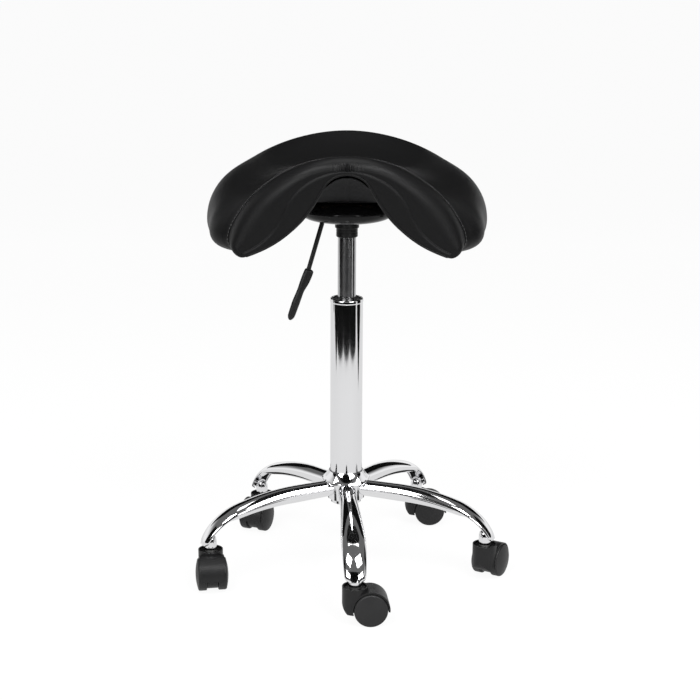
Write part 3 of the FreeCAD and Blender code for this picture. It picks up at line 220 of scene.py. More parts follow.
def along_line(wanted, known, line):
    """Points of a line at wanted values of what is known at each of its points."""
    return np.stack([np.interp(wanted, known, line[:, i]) for i in range(3)], 1)


def evened(values, before, after, width):
    """Running mean of values, with what comes before and after them."""
    return np.convolve(np.concatenate([before, values, after]), np.ones(width) / width, "valid")


def smooth_step(value, low, high):
    """Zero below low, one above high and 3t^2 - 2t^3 between them."""
    t = np.clip((np.asarray(value, float) - low) / (high - low), 0.0, 1.0)
    return t * t * (3 - 2 * t)


def bump(value, centre, width):
    """Bell curve exp(-((value - centre) / width)^2)."""
    return np.exp(-(((np.asarray(value, float) - centre) / width) ** 2))


# ---------------------------------------------------------------- finishes


def feed(tree, socket, value):
    """Gives an input a plain number, or the output that it is linked to."""
    if isinstance(value, (int, float)):
        socket.default_value = value
    else:
        tree.links.new(value, socket)


def math_node(tree, operation, *values):
    """Output of a math node whose inputs are outputs or plain numbers."""
    node = tree.nodes.new("ShaderNodeMath")
    node.operation = operation
    for socket, value in zip(node.inputs, values):
        feed(tree, socket, value)
    return node.outputs[0]


def texture(tree, kind, vector, scale, output=0, **settings):
    """Output of a texture node of a kind at a scale. Named inputs or options may be set."""
    node = tree.nodes.new("ShaderNodeTex" + kind)
    feed(tree, node.inputs["Vector"], vector)
    feed(tree, node.inputs["Scale"], scale)
    for label, value in settings.items():
        if label in node.inputs:
            node.inputs[label].default_value = value
        else:
            setattr(node, label, value)
    return node.outputs[output]


def stretched(tree, vector, amounts):
    """Vector scaled by an amount along each axis."""
    node = tree.nodes.new("ShaderNodeMapping")
    node.inputs["Scale"].default_value = amounts
    tree.links.new(vector, node.inputs["Vector"])
    return node.outputs[0]


def hide_grain(tree, place, scale):
    """Leather grain: rounded cells between creases, with pores and a slow swell."""
    cells = texture(tree, "Voronoi", place, scale, "Distance", feature="DISTANCE_TO_EDGE")
    crease = math_node(tree, "SMOOTH_MIN", cells, 0.16, 0.1)
    swell = texture(tree, "Noise", place, math_node(tree, "MULTIPLY", scale, 0.37), Detail=3.0)
    pore = texture(tree, "Noise", place, math_node(tree, "MULTIPLY", scale, 2.3), Detail=2.0)
    height = math_node(tree, "MULTIPLY_ADD", crease, 4.5, math_node(tree, "MULTIPLY", swell, 0.6))
    return math_node(tree, "MULTIPLY_ADD", pore, 0.25, height), swell


def handling_wear(tree, place, scale):
    """Uneven sheen: broad soft blotches with finer rubbed marks in them. It has a tone only."""
    broad = texture(tree, "Noise", place, scale, Detail=4.0, Roughness=0.55)
    marks = texture(tree, "Noise", place, math_node(tree, "MULTIPLY", scale, 26.0), Detail=6.0, Roughness=0.7)
    return None, math_node(tree, "MULTIPLY_ADD", marks, 0.35, math_node(tree, "MULTIPLY", broad, 0.65))


def moulded_texture(tree, place, scale):
    """Spark-eroded surface of a moulded plastic: fine even pebbles with a slow flow in their tone."""
    pebble = texture(tree, "Noise", place, scale, Detail=3.0, Roughness=0.6)
    return pebble, texture(tree, "Noise", place, math_node(tree, "MULTIPLY", scale, 0.012), Detail=3.0)


def drawn_lines(tree, place, scale):
    """Marks of drawing and grinding: noise squeezed along the axis into fine rings, and stains."""
    rings = stretched(tree, place, (4.0, 4.0, 60.0))
    line = texture(tree, "Noise", rings, scale, Detail=3.0, Roughness=0.6)
    return line, texture(tree, "Noise", place, 14.0, Detail=4.0)


def cloth_weave(tree, place, scale):
    """Plain weave: two crossed sine waves, one thread over and one under."""
    split = tree.nodes.new("ShaderNodeSeparateXYZ")
    tree.links.new(place, split.inputs[0])
    turns = math_node(tree, "MULTIPLY", scale, FULL_TURN)
    warp, weft = (
        math_node(tree, "SINE", math_node(tree, "MULTIPLY", split.outputs[i], turns)) for i in range(2)
    )
    height = math_node(tree, "MULTIPLY_ADD", math_node(tree, "MULTIPLY", warp, weft), 0.5, 0.5)
    return height, texture(tree, "Noise", place, 160.0, Detail=5.0)


def wood_layers(tree, place, scale):
    """Plywood: thin layers of alternating tone with long fibres."""
    ply = texture(tree, "Wave", place, scale, "Fac", Distortion=1.2, bands_direction="Z")
    fibre = texture(tree, "Noise", stretched(tree, place, (3.0, 40.0, 40.0)), 22.0, Detail=5.0)
    return fibre, math_node(tree, "MULTIPLY_ADD", ply, 0.5, math_node(tree, "MULTIPLY", fibre, 0.5))


EFFECTS = {
    "grain": hide_grain, "wear": handling_wear, "moulded": moulded_texture, "drawn": drawn_lines,
    "weave": cloth_weave, "layers": wood_layers,
}


def effect_node(tree, kind, scale, place):
    """Node of an effect's shader group, which is built the first time it is asked for."""
    label = "stool " + kind
    if label not in bpy.data.node_groups:
        group = bpy.data.node_groups.new(label, "ShaderNodeTree")
        for name, in_out, socket in (
            ("Vector", "INPUT", "NodeSocketVector"), ("Scale", "INPUT", "NodeSocketFloat"),
            ("Height", "OUTPUT", "NodeSocketFloat"), ("Tone", "OUTPUT", "NodeSocketFloat"),
        ):
            group.interface.new_socket(name=name, in_out=in_out, socket_type=socket)
        start = group.nodes.new("NodeGroupInput")
        end = group.nodes.new("NodeGroupOutput")
        for socket, value in zip(end.inputs, EFFECTS[kind](group, start.outputs[0], start.outputs[1])):
            if value is not None:
                group.links.new(value, socket)
    node = tree.nodes.new("ShaderNodeGroup")
    node.node_tree = bpy.data.node_groups[label]
    node.inputs["Scale"].default_value = scale
    tree.links.new(place, node.inputs["Vector"])
    return node


WHEEL_LIGHTER = 1.25
USUAL = 0.5
PLAIN = 0.0
METAL = 1.0
SHEEN_RANGE = (0.25, 0.75)


def finish_values():
    """What each finish is made of: its colour, effect, the effect's scale, the bump's height in
    metres, the range of its roughness, the depth of its tint, the scale of its wear, how much of a
    metal it is and how strongly it mirrors otherwise."""
    own = colours()
    wheel = [c * WHEEL_LIGHTER for c in own.plastic]
    grain = 1 / sizes().grain
    return {
        "black leatherette": (own.leather, "grain", grain, 3e-5, (0.36, 0.46), 0.25, 7.0, PLAIN, 0.13),
        "chrome plate": (own.chrome, "moulded", 700.0, 2e-8, (0.03, 0.09), 0.02, 14.0, METAL, USUAL),
        "ground steel": (own.steel, "drawn", 60.0, 1e-6, (0.13, 0.24), 0.12, 20.0, METAL, USUAL),
        "zinc plated steel": (
            (0.50, 0.50, 0.49), "moulded", 900.0, 6e-6, (0.28, 0.45), 0.15, 30.0, METAL, USUAL),
        "gloss black moulding": (
            (0.004, 0.004, 0.0042), "moulded", 500.0, 2e-6, (0.06, 0.14), 0.2, 16.0, PLAIN, 0.22),
        "black nylon": (own.plastic, "moulded", 1500.0, 3e-5, (0.32, 0.46), 0.3, 24.0, PLAIN, 0.25),
        "wheel nylon": (wheel, "moulded", 1100.0, 4e-5, (0.36, 0.58), 0.35, 30.0, PLAIN, 0.3),
        "black paint": ((0.006, 0.006, 0.0062), "moulded", 800.0, 1e-5, (0.22, 0.36), 0.2, 22.0, PLAIN, 0.3),
        "dust fabric": ((0.011, 0.011, 0.0115), "weave", 420.0, 1e-4, (0.80, 0.95), 0.35, 12.0, PLAIN, 0.15),
        "seam thread": (
            (0.035, 0.035, 0.036), "weave", 1500.0, 8e-5, (0.55, 0.75), 0.3, 60.0, PLAIN, USUAL),
        "black rubber": (
            (0.018, 0.018, 0.018), "moulded", 600.0, 5e-5, (0.6, 0.8), 0.3, 9.0, PLAIN, USUAL),
        "beech plywood": ((0.20, 0.12, 0.06), "layers", 340.0, 1e-4, (0.5, 0.7), 0.3, 18.0, PLAIN, USUAL),
        "moulded foam": ((0.60, 0.52, 0.34), "grain", 500.0, 2e-4, (0.85, 0.95), 0.15, 12.0, PLAIN, USUAL),
    }


EXTRA_INPUTS = {"seam thread": {"Sheen Weight": 0.2}}


def finish(name):
    """Material of a finish: a Principled shader whose colour, roughness and bump follow one surface
    effect and the uneven sheen of handling."""
    if name in bpy.data.materials:
        return bpy.data.materials[name]
    base, effect, scale, depth, rough, tint, wear, metal, mirroring = finish_values()[name]
    material, tree, shader = new_material(name)
    inputs = {"Metallic": metal, "Specular IOR Level": mirroring, **EXTRA_INPUTS.get(name, {})}
    for label, value in inputs.items():
        shader.inputs[label].default_value = value
    place = tree.nodes.new("ShaderNodeTexCoord").outputs["Object"]
    surface = effect_node(tree, effect, scale, place)
    sheen = effect_node(tree, "wear", wear, place)
    ramp = tree.nodes.new("ShaderNodeMix")
    ramp.data_type = "RGBA"
    ramp.inputs[6].default_value = (*[c * (1 - tint) for c in base], 1.0)
    ramp.inputs[7].default_value = (*[min(1.0, c * (1 + tint)) for c in base], 1.0)
    tree.links.new(surface.outputs["Tone"], ramp.inputs[0])
    tree.links.new(ramp.outputs[2], shader.inputs["Base Color"])
    tree.links.new(map_range(tree, sheen.outputs["Tone"], SHEEN_RANGE, rough), shader.inputs["Roughness"])
    relief = tree.nodes.new("ShaderNodeBump")
    relief.inputs["Distance"].default_value = depth
    relief.inputs["Strength"].default_value = 1.0
    tree.links.new(surface.outputs["Height"], relief.inputs["Height"])
    tree.links.new(relief.outputs[0], shader.inputs["Normal"])
    return material


def new_material(name, grey=None, roughness=None, mirroring=None):
    """New material with its node tree and its shader, plain grey where values are given."""
    material = bpy.data.materials.new(name)
    material.use_nodes = True
    shader = material.node_tree.nodes["Principled BSDF"]
    if grey is not None:
        shader.inputs["Base Color"].default_value = (grey, grey, grey, 1.0)
        shader.inputs["Roughness"].default_value = roughness
        shader.inputs["Specular IOR Level"].default_value = mirroring
    return material, material.node_tree, shader


def map_range(tree, value, source, target, easing="LINEAR"):
    """Output of a node that maps the source range to the target range."""
    node = tree.nodes.new("ShaderNodeMapRange")
    node.interpolation_type = easing
    for label, limit in zip(("From Min", "From Max", "To Min", "To Max"), (*source, *target)):
        node.inputs[label].default_value = limit
    tree.links.new(value, node.inputs["Value"])
    return node.outputs[0]


def dress(piece, material, body, replaces=()):
    """Gives a new piece its finish and its body, and hides the nodes it stands for."""
    piece.data.materials.clear()
    piece.data.materials.append(finish(material))
    if replaces:
        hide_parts(*replaces)
    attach(piece, body)


# ---------------------------------------------------------------- the saddle

KEY_PLACES = (-118.0, 20.0, 140.0)
# Crown, then shoulder, outer foot, inner foot and haunch (x, z), then apex, at each key place.
KEY_SECTIONS = np.array([
    [77.5, 135.0, 18.0, 166.0, -44.0, 144.0, -66.0, 33.0, 34.5, 56.5],
    [56.0, 160.5, 33.0, 213.0, -38.0, 180.0, -76.0, 78.0, 1.0, 17.0],
    [79.0, 144.5, 41.0, 193.0, -30.0, 160.0, -56.0, 62.0, 10.0, 24.0],
])
SEAT_FRONT = -156.0
SEAT_REAR = 172.0
FRONT_ROLL = 38.0
REAR_ROLL = 34.0
FRONT_LEAN = 15.0
REAR_LEAN = -14.0
EDGE_SHARE = 0.22
REAR_NARROWING = 0.22
REAR_LIFT = 0.35
ROOT_SHARE = 0.4


def arc_line(start, heading, end, share):
    """Points along the arc that leaves start on a heading and ends at end, and its last heading.
    With half turn a and radius R = chord / (2 sin a), a point at heading h is
    start + R (sin h - sin h0, cos h0 - cos h)."""
    dx = end[0] - start[0]
    dz = end[1] - start[1]
    half = np.arctan2(dz, dx) - heading
    half = np.arctan2(np.sin(half), np.cos(half))
    half = np.where(np.abs(half) < 1e-6, 1e-6, half)
    radius = np.hypot(dx, dz) / (2 * np.sin(half))
    angle = heading[:, None] + 2 * half[:, None] * share
    x = start[0][:, None] + radius[:, None] * (np.sin(angle) - np.sin(heading)[:, None])
    z = start[1][:, None] - radius[:, None] * (np.cos(angle) - np.cos(heading)[:, None])
    return x, z, heading + 2 * half


def blended(a, b, share):
    """Pair of coordinates part of the way from a to b."""
    return a[0] + (b[0] - a[0]) * share, a[1] + (b[1] - a[1]) * share


def key_values(place):
    """Crown, shoulder, outer foot, inner foot, haunch and apex at places along the seat: the
    quadratic through the three key sections, drawn in where the ends roll over."""
    y0, y1, y2 = KEY_PLACES
    y = np.clip(place, y0, y2)
    w = np.stack([
        (y - y1) * (y - y2) / ((y0 - y1) * (y0 - y2)),
        (y - y0) * (y - y2) / ((y1 - y0) * (y1 - y2)),
        (y - y0) * (y - y1) / ((y2 - y0) * (y2 - y1)),
    ], 1)
    v = w @ KEY_SECTIONS
    crown = v[:, 0]
    shoulder, outer, inner, haunch = ((v[:, i], v[:, i + 1]) for i in (1, 3, 5, 7))
    apex = v[:, 9]
    front = np.clip((y0 - place) / FRONT_ROLL, 0.0, 1.0)
    rear = np.clip((place - y2) / REAR_ROLL, 0.0, 1.0)
    depth = np.maximum(front, rear)
    shrink = 1.0 - REAR_NARROWING * rear ** 2
    shoulder = (shoulder[0] * shrink, shoulder[1])
    outer = (outer[0] * shrink, outer[1] + (shoulder[1] - outer[1]) * REAR_LIFT * rear)
    inner = (inner[0] * shrink, inner[1] + (haunch[1] - inner[1]) * REAR_LIFT * rear)
    haunch = (haunch[0] * shrink, haunch[1])
    keep = EDGE_SHARE + (1 - EDGE_SHARE) * np.sqrt(np.maximum(0.0, 1 - depth ** 2))
    return crown, shoulder, outer, inner, haunch, apex, keep


def section_points(place, shares):
    """Half section at each place: crown, shoulder, outer foot, inner foot, haunch and apex joined
    by tangent arcs. shares holds the steps along the five arcs."""
    crown, shoulder, outer, inner, haunch, apex, keep = key_values(place)
    root = blended(haunch, inner, ROOT_SHARE)
    crown = apex + (crown - apex) * keep
    shoulder = blended(root, shoulder, keep)
    outer = blended(inner, outer, keep)
    zero = np.zeros_like(crown)
    top_turn = -2 * np.arctan2(crown - shoulder[1], shoulder[0])
    roof_turn = -2 * np.arctan2(apex - haunch[1], haunch[0])
    top = arc_line((zero, crown), zero, shoulder, shares[0])
    side = arc_line(shoulder, top_turn, outer, shares[1])
    foot = arc_line(outer, side[2], inner, shares[2])
    flank = arc_line(haunch, roof_turn, inner, shares[3][::-1])
    roof = arc_line((zero, apex), zero, haunch, shares[4][::-1])
    arcs = (top, side, foot, flank, roof)
    return [np.concatenate([arc[axis][:, min(i, 1):] for i, arc in enumerate(arcs)], 1) for axis in (0, 1)]


def leaned(x, place, z):
    """Section points set on their leaning planes, in millimetres from the floor."""
    lean = np.where(place < 0, FRONT_LEAN * place / SEAT_FRONT, REAR_LEAN * place / SEAT_REAR)
    y = place[:, None] - z * np.tan(np.radians(lean))[:, None]
    return np.stack([x, y, PLATE_TOP + z], -1)


TOP_STEPS = np.linspace(0.0, 1.0, 160) ** 1.5
SIDE_STEPS = np.linspace(0.0, 1.0, 26)
FOOT_STEPS = np.linspace(0.0, 1.0, 14)
FLANK_STEPS = np.linspace(0.0, 1.0, 36)
ROOF_STEPS = np.linspace(0.0, 1.0, 24)
SHARES = (TOP_STEPS, SIDE_STEPS, FOOT_STEPS, FLANK_STEPS, ROOF_STEPS)
EDGE_ROUND = 3.0
EDGE_ROWS = 7
EDGE_TURN = 1.4
FRONT_ROWS = 45
MIDDLE_ROWS = 64
REAR_ROWS = 25
OUTER_COLUMNS = len(TOP_STEPS) + len(SIDE_STEPS) + len(FOOT_STEPS) - 2


def saddle_stations():
    """Places along the seat, how far its edge is still open at each, and the push that rounds it:
    even steps between the rolls, equal angles round the rolls, and most of a quarter turn at each edge."""
    front_turn = np.linspace(0.0, math.pi / 2, FRONT_ROWS + 1)[1:]
    rear_turn = np.linspace(0.0, math.pi / 2, REAR_ROWS + 1)[1:]
    close = np.linspace(0.0, EDGE_TURN, EDGE_ROWS + 1)[1:]
    front = KEY_PLACES[0] - FRONT_ROLL * np.sin(front_turn)
    rear = np.minimum(KEY_PLACES[2] + REAR_ROLL * np.sin(rear_turn), SEAT_REAR)
    middle = np.linspace(KEY_PLACES[0], KEY_PLACES[2], MIDDLE_ROWS)
    first, last = np.full(EDGE_ROWS, SEAT_FRONT), np.full(EDGE_ROWS, SEAT_REAR)
    place = np.concatenate([first, front[::-1], middle, rear, last])
    still = np.zeros(len(place) - 2 * EDGE_ROWS)
    turned_by = np.concatenate([-close[::-1], still, close])
    return place, np.cos(turned_by), EDGE_ROUND * np.sin(turned_by)


SEAM_ON_WING = -111.0
SEAM_FORWARD = 15.0
SEAM_SPREAD = 62.0
GROOVE_DEPTH = 1.7
GROOVE_WIDTH = 1.9
ROLL_SHARE = 0.6
ROLL_WIDTH = 0.34
PANEL_SWELL = 0.7
GATHER_REACH = 20.0
GATHER_SPREAD = 14.0
GATHER_DEPTH = 1.6
TIP_FILL = 13.0
TIP_PLACE = -82.0
TIP_LENGTH = 36.0
TIP_COLUMNS = 10.0
UNEVENNESS = 0.35


def seam_place(x):
    """Where the front seam lies along the seat: further forward over the pommel than on the wings."""
    return SEAM_ON_WING - SEAM_FORWARD * bump(x, 0.0, SEAM_SPREAD)


def front_turn_at(place):
    """Angle round the front roll at a place, in degrees."""
    return np.degrees(np.arcsin(np.clip((KEY_PLACES[0] - place) / FRONT_ROLL, -1.0, 1.0)))


def cover_relief(grid, place, fold, pleats):
    """How far the stuffed cover stands off its plain form, in millimetres: a groove at the seam, the
    front roll, a swell behind the seam, gathers over the notch, full tips and slow unevenness."""
    x, z = grid[:, :, 0], grid[:, :, 2]
    place = place[:, None]
    column = np.arange(grid.shape[1])
    skin = (column < OUTER_COLUMNS) * (1 - smooth_step(column, OUTER_COLUMNS - 12, OUTER_COLUMNS - 1))
    seam = seam_place(x)
    seam_turn = front_turn_at(seam)
    band = (front_turn_at(place) - seam_turn) / (90.0 - seam_turn)
    from_seam = place - seam
    relief = -GROOVE_DEPTH * bump(from_seam, 0.0, GROOVE_WIDTH)
    ridge = 0.28 + 0.30 * smooth_step(np.abs(x), 6.0, 80.0)
    roll = fold * ROLL_SHARE * bump(band, ridge, ROLL_WIDTH)
    relief = relief + roll * smooth_step(band, 0.0, 0.2) * (1 - smooth_step(band, 0.8, 1.0))
    relief = relief + PANEL_SWELL * smooth_step(from_seam, 1.0, 26.0)
    gather = np.sin(x / GATHER_REACH * math.pi * pleats + 0.8 * np.sin(x * 0.45))
    gather = gather * (0.8 + 0.2 * np.sin(x * 0.9 + 1.0))
    window = smooth_step(band, 0.50, 0.78) * (1 - smooth_step(band, 0.985, 1.0)) * bump(x, 0.0, GATHER_SPREAD)
    relief = relief + gather * window * GATHER_DEPTH
    under = len(TOP_STEPS) + len(SIDE_STEPS) - 3.0
    relief = relief + TIP_FILL * bump(place, TIP_PLACE, TIP_LENGTH) * bump(column, under, TIP_COLUMNS)
    relief = relief + UNEVENNESS * np.sin(x * 0.043 + 1.3) * np.sin(place * 0.037 + z * 0.021)
    return relief * skin


def half_cover():
    """Grid of the right half of the cover, from the crown round the wing to the apex. At each end
    the outer line and the inner line draw together by the cosine of the edge's turn."""
    place, still_open, push = saddle_stations()
    x, z = section_points(place, SHARES)
    grid = leaned(x, place, z)
    relief = cover_relief(grid, place, sizes().fold / MM, sizes().pleats)
    grid = grid + normals_of(grid) * relief[:, :, None]
    grid[:EDGE_ROWS] = grid[EDGE_ROWS]
    grid[-EDGE_ROWS:] = grid[-EDGE_ROWS - 1]
    grid[:, [0, -1], 0] = 0.0
    foot = OUTER_COLUMNS - 1
    for row in np.nonzero(still_open < 1.0)[0]:
        outer, inner = grid[row, :foot + 1].copy(), grid[row, foot:][::-1].copy()
        out_known, in_known = running_length(outer), running_length(inner)
        out_share, in_share = out_known / out_known[-1], in_known / in_known[-1]
        draw = (1.0 - still_open[row]) / 2
        grid[row, :foot + 1] = outer + (along_line(out_share, in_share, inner) - outer) * draw
        grid[row, foot:] = (inner + (along_line(in_share, out_share, outer) - inner) * draw)[::-1]
    grid[:, :, 1] += push[:, None]
    return grid


def mirrored_loop(half):
    """Whole loop from a half grid: the half, then its mirror image run back, ends shared."""
    left = half[:, ::-1][:, 1:-1] * MIRROR
    return np.concatenate([half, left], 1)


def make_cover():
    """Padded cover of the saddle: the sections carried along the seat, mirrored and closed."""
    loop = mirrored_loop(half_cover())
    rows, columns = loop.shape[:2]
    ends = [list(range(columns)), list(range(rows * columns - 1, (rows - 1) * columns - 1, -1))]
    piece = grid_piece("seat_padding", loop, extra=ends)
    padded = ("seat_cover", "seat_foam", "seat_shell")
    dress(piece, "black leatherette", "seat_carriage", padded)


def line_on_cover(half, place, wanted, columns):
    """Points of the half grid where each column crosses a wanted place, by linear steps."""
    points = []
    for column in columns:
        target = wanted(half[:, column, 0])
        gap = place - target
        rows = np.nonzero((gap[:-1] <= 0) & (gap[1:] > 0))[0]
        row = rows[-1]
        share = -gap[row] / (gap[row + 1] - gap[row])
        points.append(half[row, column] * (1 - share) + half[row + 1, column] * share)
    return np.array(points)


def spaced(path, step):
    """Points and directions at equal steps along a line, by its running length."""
    known = running_length(path)
    at = np.arange(step / 2, known[-1], step)
    direction = along_line(at + 0.5, known, path) - along_line(at - 0.5, known, path)
    return along_line(at, known, path), direction / np.linalg.norm(direction, axis=1)[:, None]


def stitches(points, direction, normal, length, thickness):
    """A small bent capsule per stitch: its line rises in the middle by a parabola, its radius
    follows the square root of 1 - t^2, and it is copied to every place at once."""
    rings, sides = 7, 6
    t = np.linspace(-1.0, 1.0, rings)
    angle = np.linspace(0.0, FULL_TURN, sides, endpoint=False)
    radius = (thickness / 2 * np.sqrt(np.maximum(0.05, 1 - t ** 2)))[:, None]
    along = (t * length / 2)[None, :, None, None]
    rise = (thickness * 0.45 * (1 - t ** 2))[:, None] + radius * np.sin(angle)
    aside = radius * np.cos(angle)
    side = np.cross(normal, direction)
    grid = (
        points[:, None, None, :] + along * direction[:, None, None, :]
        + rise[None, :, :, None] * normal[:, None, None, :] + aside[None, :, :, None] * side[:, None, None, :]
    )
    caps = [[0, 1, 2, 3], [0, 3, 4, 5], [39, 38, 37, 36], [41, 40, 39, 36]]
    every = np.array(grid_faces(rings, sides, False, True) + caps)
    faces = (every[None] + rings * sides * np.arange(len(points))[:, None, None]).reshape(-1, 4)
    return grid.reshape(-1, 3), faces.tolist()


# ---------------------------------------------------------------- the mechanism under the seat

DISH_FOOT = 555.7
DISH_HEAD = 591.2
DISH_WAIST = 578.42
DISH_RADIUS = 72.0
DISH_TOP = 50.0
LIP_ROUND = 7.0
DISH_WALL = 2.0
NECK_RADIUS = 18.4
NECK_OUTLINE = ((18.5, 552.9), (20.5, 552.9), (20.6, DISH_FOOT - 0.4), (22.0, DISH_FOOT + 0.6))
BELLY_START = (38.0, DISH_FOOT + 2.2)
BELLY_BEND = (71.0, DISH_FOOT + 3.0)
SLOT_REACH = (-45.5, -24.0)
SLOT_HALF_WIDTH = 5.5
SLOT_TOP = 570.0


def dish_outline():
    """Side outline of the dish: neck, foot, belly, rounded lip and arched brow to its open top."""
    run = DISH_RADIUS - DISH_TOP
    drop = DISH_HEAD - DISH_WAIST
    brow = (run * run + drop * drop) / (2 * drop)
    half = math.asin(run / brow)
    angle = np.linspace(half, 0.0, 16)
    brow_line = np.stack([DISH_TOP + brow * np.sin(angle), DISH_HEAD - brow * (1 - np.cos(angle))], 1)
    t = np.linspace(0.0, 1.0, 22)[:, None]
    foot, bend = np.array(BELLY_START), np.array(BELLY_BEND)
    turn = np.linspace(-0.35, math.pi / 2 - half, 10)
    seat = (DISH_RADIUS - LIP_ROUND * math.sin(half), DISH_WAIST - LIP_ROUND * math.cos(half))
    lip = np.stack([seat[0] + LIP_ROUND * np.cos(turn), seat[1] + LIP_ROUND * np.sin(turn)], 1)
    belly = ((1 - t) ** 2 * foot + 2 * t * (1 - t) * bend + t * t * lip[0])[:-1]
    return np.concatenate([NECK_OUTLINE, belly, lip[:-1], brow_line])


def make_dish():
    """Moulded dish: its outline turned, doubled by the wall, open at the top, slotted for the lever."""
    outer = dish_outline()
    along = np.gradient(outer, axis=0)
    along /= np.linalg.norm(along, axis=1)[:, None]
    wall = np.stack([-along[:, 1], along[:, 0]], 1) * DISH_WALL
    inner = (outer + wall)[2:]
    profile = np.concatenate([outer, inner[::-1]])
    profile[:, 0] = np.maximum(profile[:, 0], NECK_RADIUS)
    around = 180
    points = revolved(profile, around, math.pi / around).reshape(-1, 3)
    faces = np.array(grid_faces(len(profile), around, True, True))
    x, y, z = points[faces].mean(1).T
    slot = (x > SLOT_REACH[0]) & (x < SLOT_REACH[1]) & (np.abs(y) < SLOT_HALF_WIDTH) & (z < SLOT_TOP)
    return points, faces[~slot].tolist()


GRIP_LONGER = 6.0
GRIP_ENDS = (0.05, 0.9)
GRIP_SQUARENESS = 0.8
GRIP_PLACES = (0.0, 0.08, 0.24, 0.42, 0.66, 0.9, 1.0)
# Widths to the left and to the right, then the thickness, at each place along the grip.
GRIP_WIDTHS = (
    (6.2, 6.8, 6.8, 6.0, 6.8, 5.6, 4.6),
    (7.2, 8.0, 7.6, 4.6, 5.4, 5.6, 4.6),
    (4.2, 4.6, 4.6, 4.2, 4.4, 3.4, 2.8),
)


# ---------------------------------------------------------------- the base


STEM_REACH = 224.3
ARM_START = 25.0
ARM_TOP = 131.9
ARM_OVERHANG = 6.2
ARM_TIP = 9.0
BEND_RADIUS = 375.0
NOSE_RADIUS = 88.0
ARM_SLOPES = (3.0, 17.0, 60.0)


def arm_centre(steps):
    """Centre line of an arm: straight and falling at 3 degrees, an arc to 17, a tighter arc to 60,
    and a short straight tip. Returns distance from the column, height and slope."""
    slopes = np.radians(ARM_SLOPES)
    sine = np.sin(slopes)
    bend_run = BEND_RADIUS * (sine[1] - sine[0])
    nose_run = NOSE_RADIUS * (sine[2] - sine[1])
    bend_start = STEM_REACH + ARM_OVERHANG - nose_run - bend_run
    lengths = [
        (bend_start - ARM_START) / math.cos(slopes[0]),
        BEND_RADIUS * (slopes[1] - slopes[0]),
        NOSE_RADIUS * (slopes[2] - slopes[1]),
        ARM_TIP,
    ]
    s = np.concatenate([
        np.linspace(0, lengths[0], steps[0], endpoint=False),
        lengths[0] + np.linspace(0, lengths[1], steps[1], endpoint=False),
        lengths[0] + lengths[1] + np.linspace(0, lengths[2], steps[2], endpoint=False),
        sum(lengths[:3]) + np.linspace(0, ARM_TIP, steps[3]),
    ])
    ends = np.cumsum(lengths)
    slope = np.where(s < ends[0], slopes[0], 0.0)
    slope = np.where((s >= ends[0]) & (s < ends[1]), slopes[0] + (s - ends[0]) / BEND_RADIUS, slope)
    slope = np.where((s >= ends[1]) & (s < ends[2]), slopes[1] + (s - ends[1]) / NOSE_RADIUS, slope)
    slope = np.where(s >= ends[2], slopes[2], slope)
    step = np.diff(s)
    mid = (slope[1:] + slope[:-1]) / 2
    r = ARM_START + np.concatenate([[0.0], np.cumsum(step * np.cos(mid))])
    z = ARM_TOP - np.concatenate([[0.0], np.cumsum(step * np.sin(mid))])
    return r, z, slope


ARM_WALL = 2.0
SEAM_GAP = 0.004
ARM_PLACES = (25.0, 57.5, 90.0, 135.5, 180.0, 199.9, 217.4, 230.5, 235.0)
ARM_WIDTHS = (27.4, 27.4, 28.8, 32.2, 37.0, 37.0, 35.0, 32.0, 27.0)
ARM_DEPTHS = (25.0, 26.0, 27.0, 24.2, 19.7, 16.0, 14.5, 12.8, 11.0)


def smoothed(r, places, values):
    """Values at the stations spread over the line and eased by a running mean."""
    raw = np.interp(r, places, values)
    return evened(raw, np.full(4, raw[0]), np.full(4, raw[-1]), 9)


def arm_grid():
    """Pressed arm in the plane of X: an oval tube whose underside opens towards the nose. Each
    section is centre + width cos a + depth sin a, run round the outside and back round the inside."""
    r, z, slope = arm_centre((44, 26, 40, 12))
    half_width = smoothed(r, ARM_PLACES, ARM_WIDTHS) / 2
    half_depth = smoothed(r, ARM_PLACES, ARM_DEPTHS) / 2
    tip = smooth_step(r, 231.0, 235.2)
    half_width = half_width * (1 - 0.38 * tip ** 1.5)
    gap = SEAM_GAP + (math.pi / 2 - SEAM_GAP) * smooth_step(r, 168.0, 202.0)
    share = np.linspace(0.0, 1.0, 49)
    angle = -math.pi / 2 + gap[:, None] + (FULL_TURN - 2 * gap[:, None]) * share
    loops = []
    for inset, order in ((0.0, 1), (ARM_WALL, -1)):
        w = (half_width - inset)[:, None] * np.cos(angle)
        d = (half_depth - inset)[:, None] * np.sin(angle)
        x = r[:, None] + d * np.sin(slope)[:, None]
        up = z[:, None] + d * np.cos(slope)[:, None]
        loops.append(np.stack([x, w, up], -1)[:, ::order])
    return np.concatenate(loops, 1)


def turned_about(points, angle):
    """Points turned about the column by an angle."""
    c, s = math.cos(angle), math.sin(angle)
    out = points.copy()
    out[..., 0] = points[..., 0] * c - points[..., 1] * s
    out[..., 1] = points[..., 0] * s + points[..., 1] * c
    return out


HUB_NECK = 26.6
HUB_TOP = 159.9
HUB_DROP = 16.5
HUB_WALL = 1.5


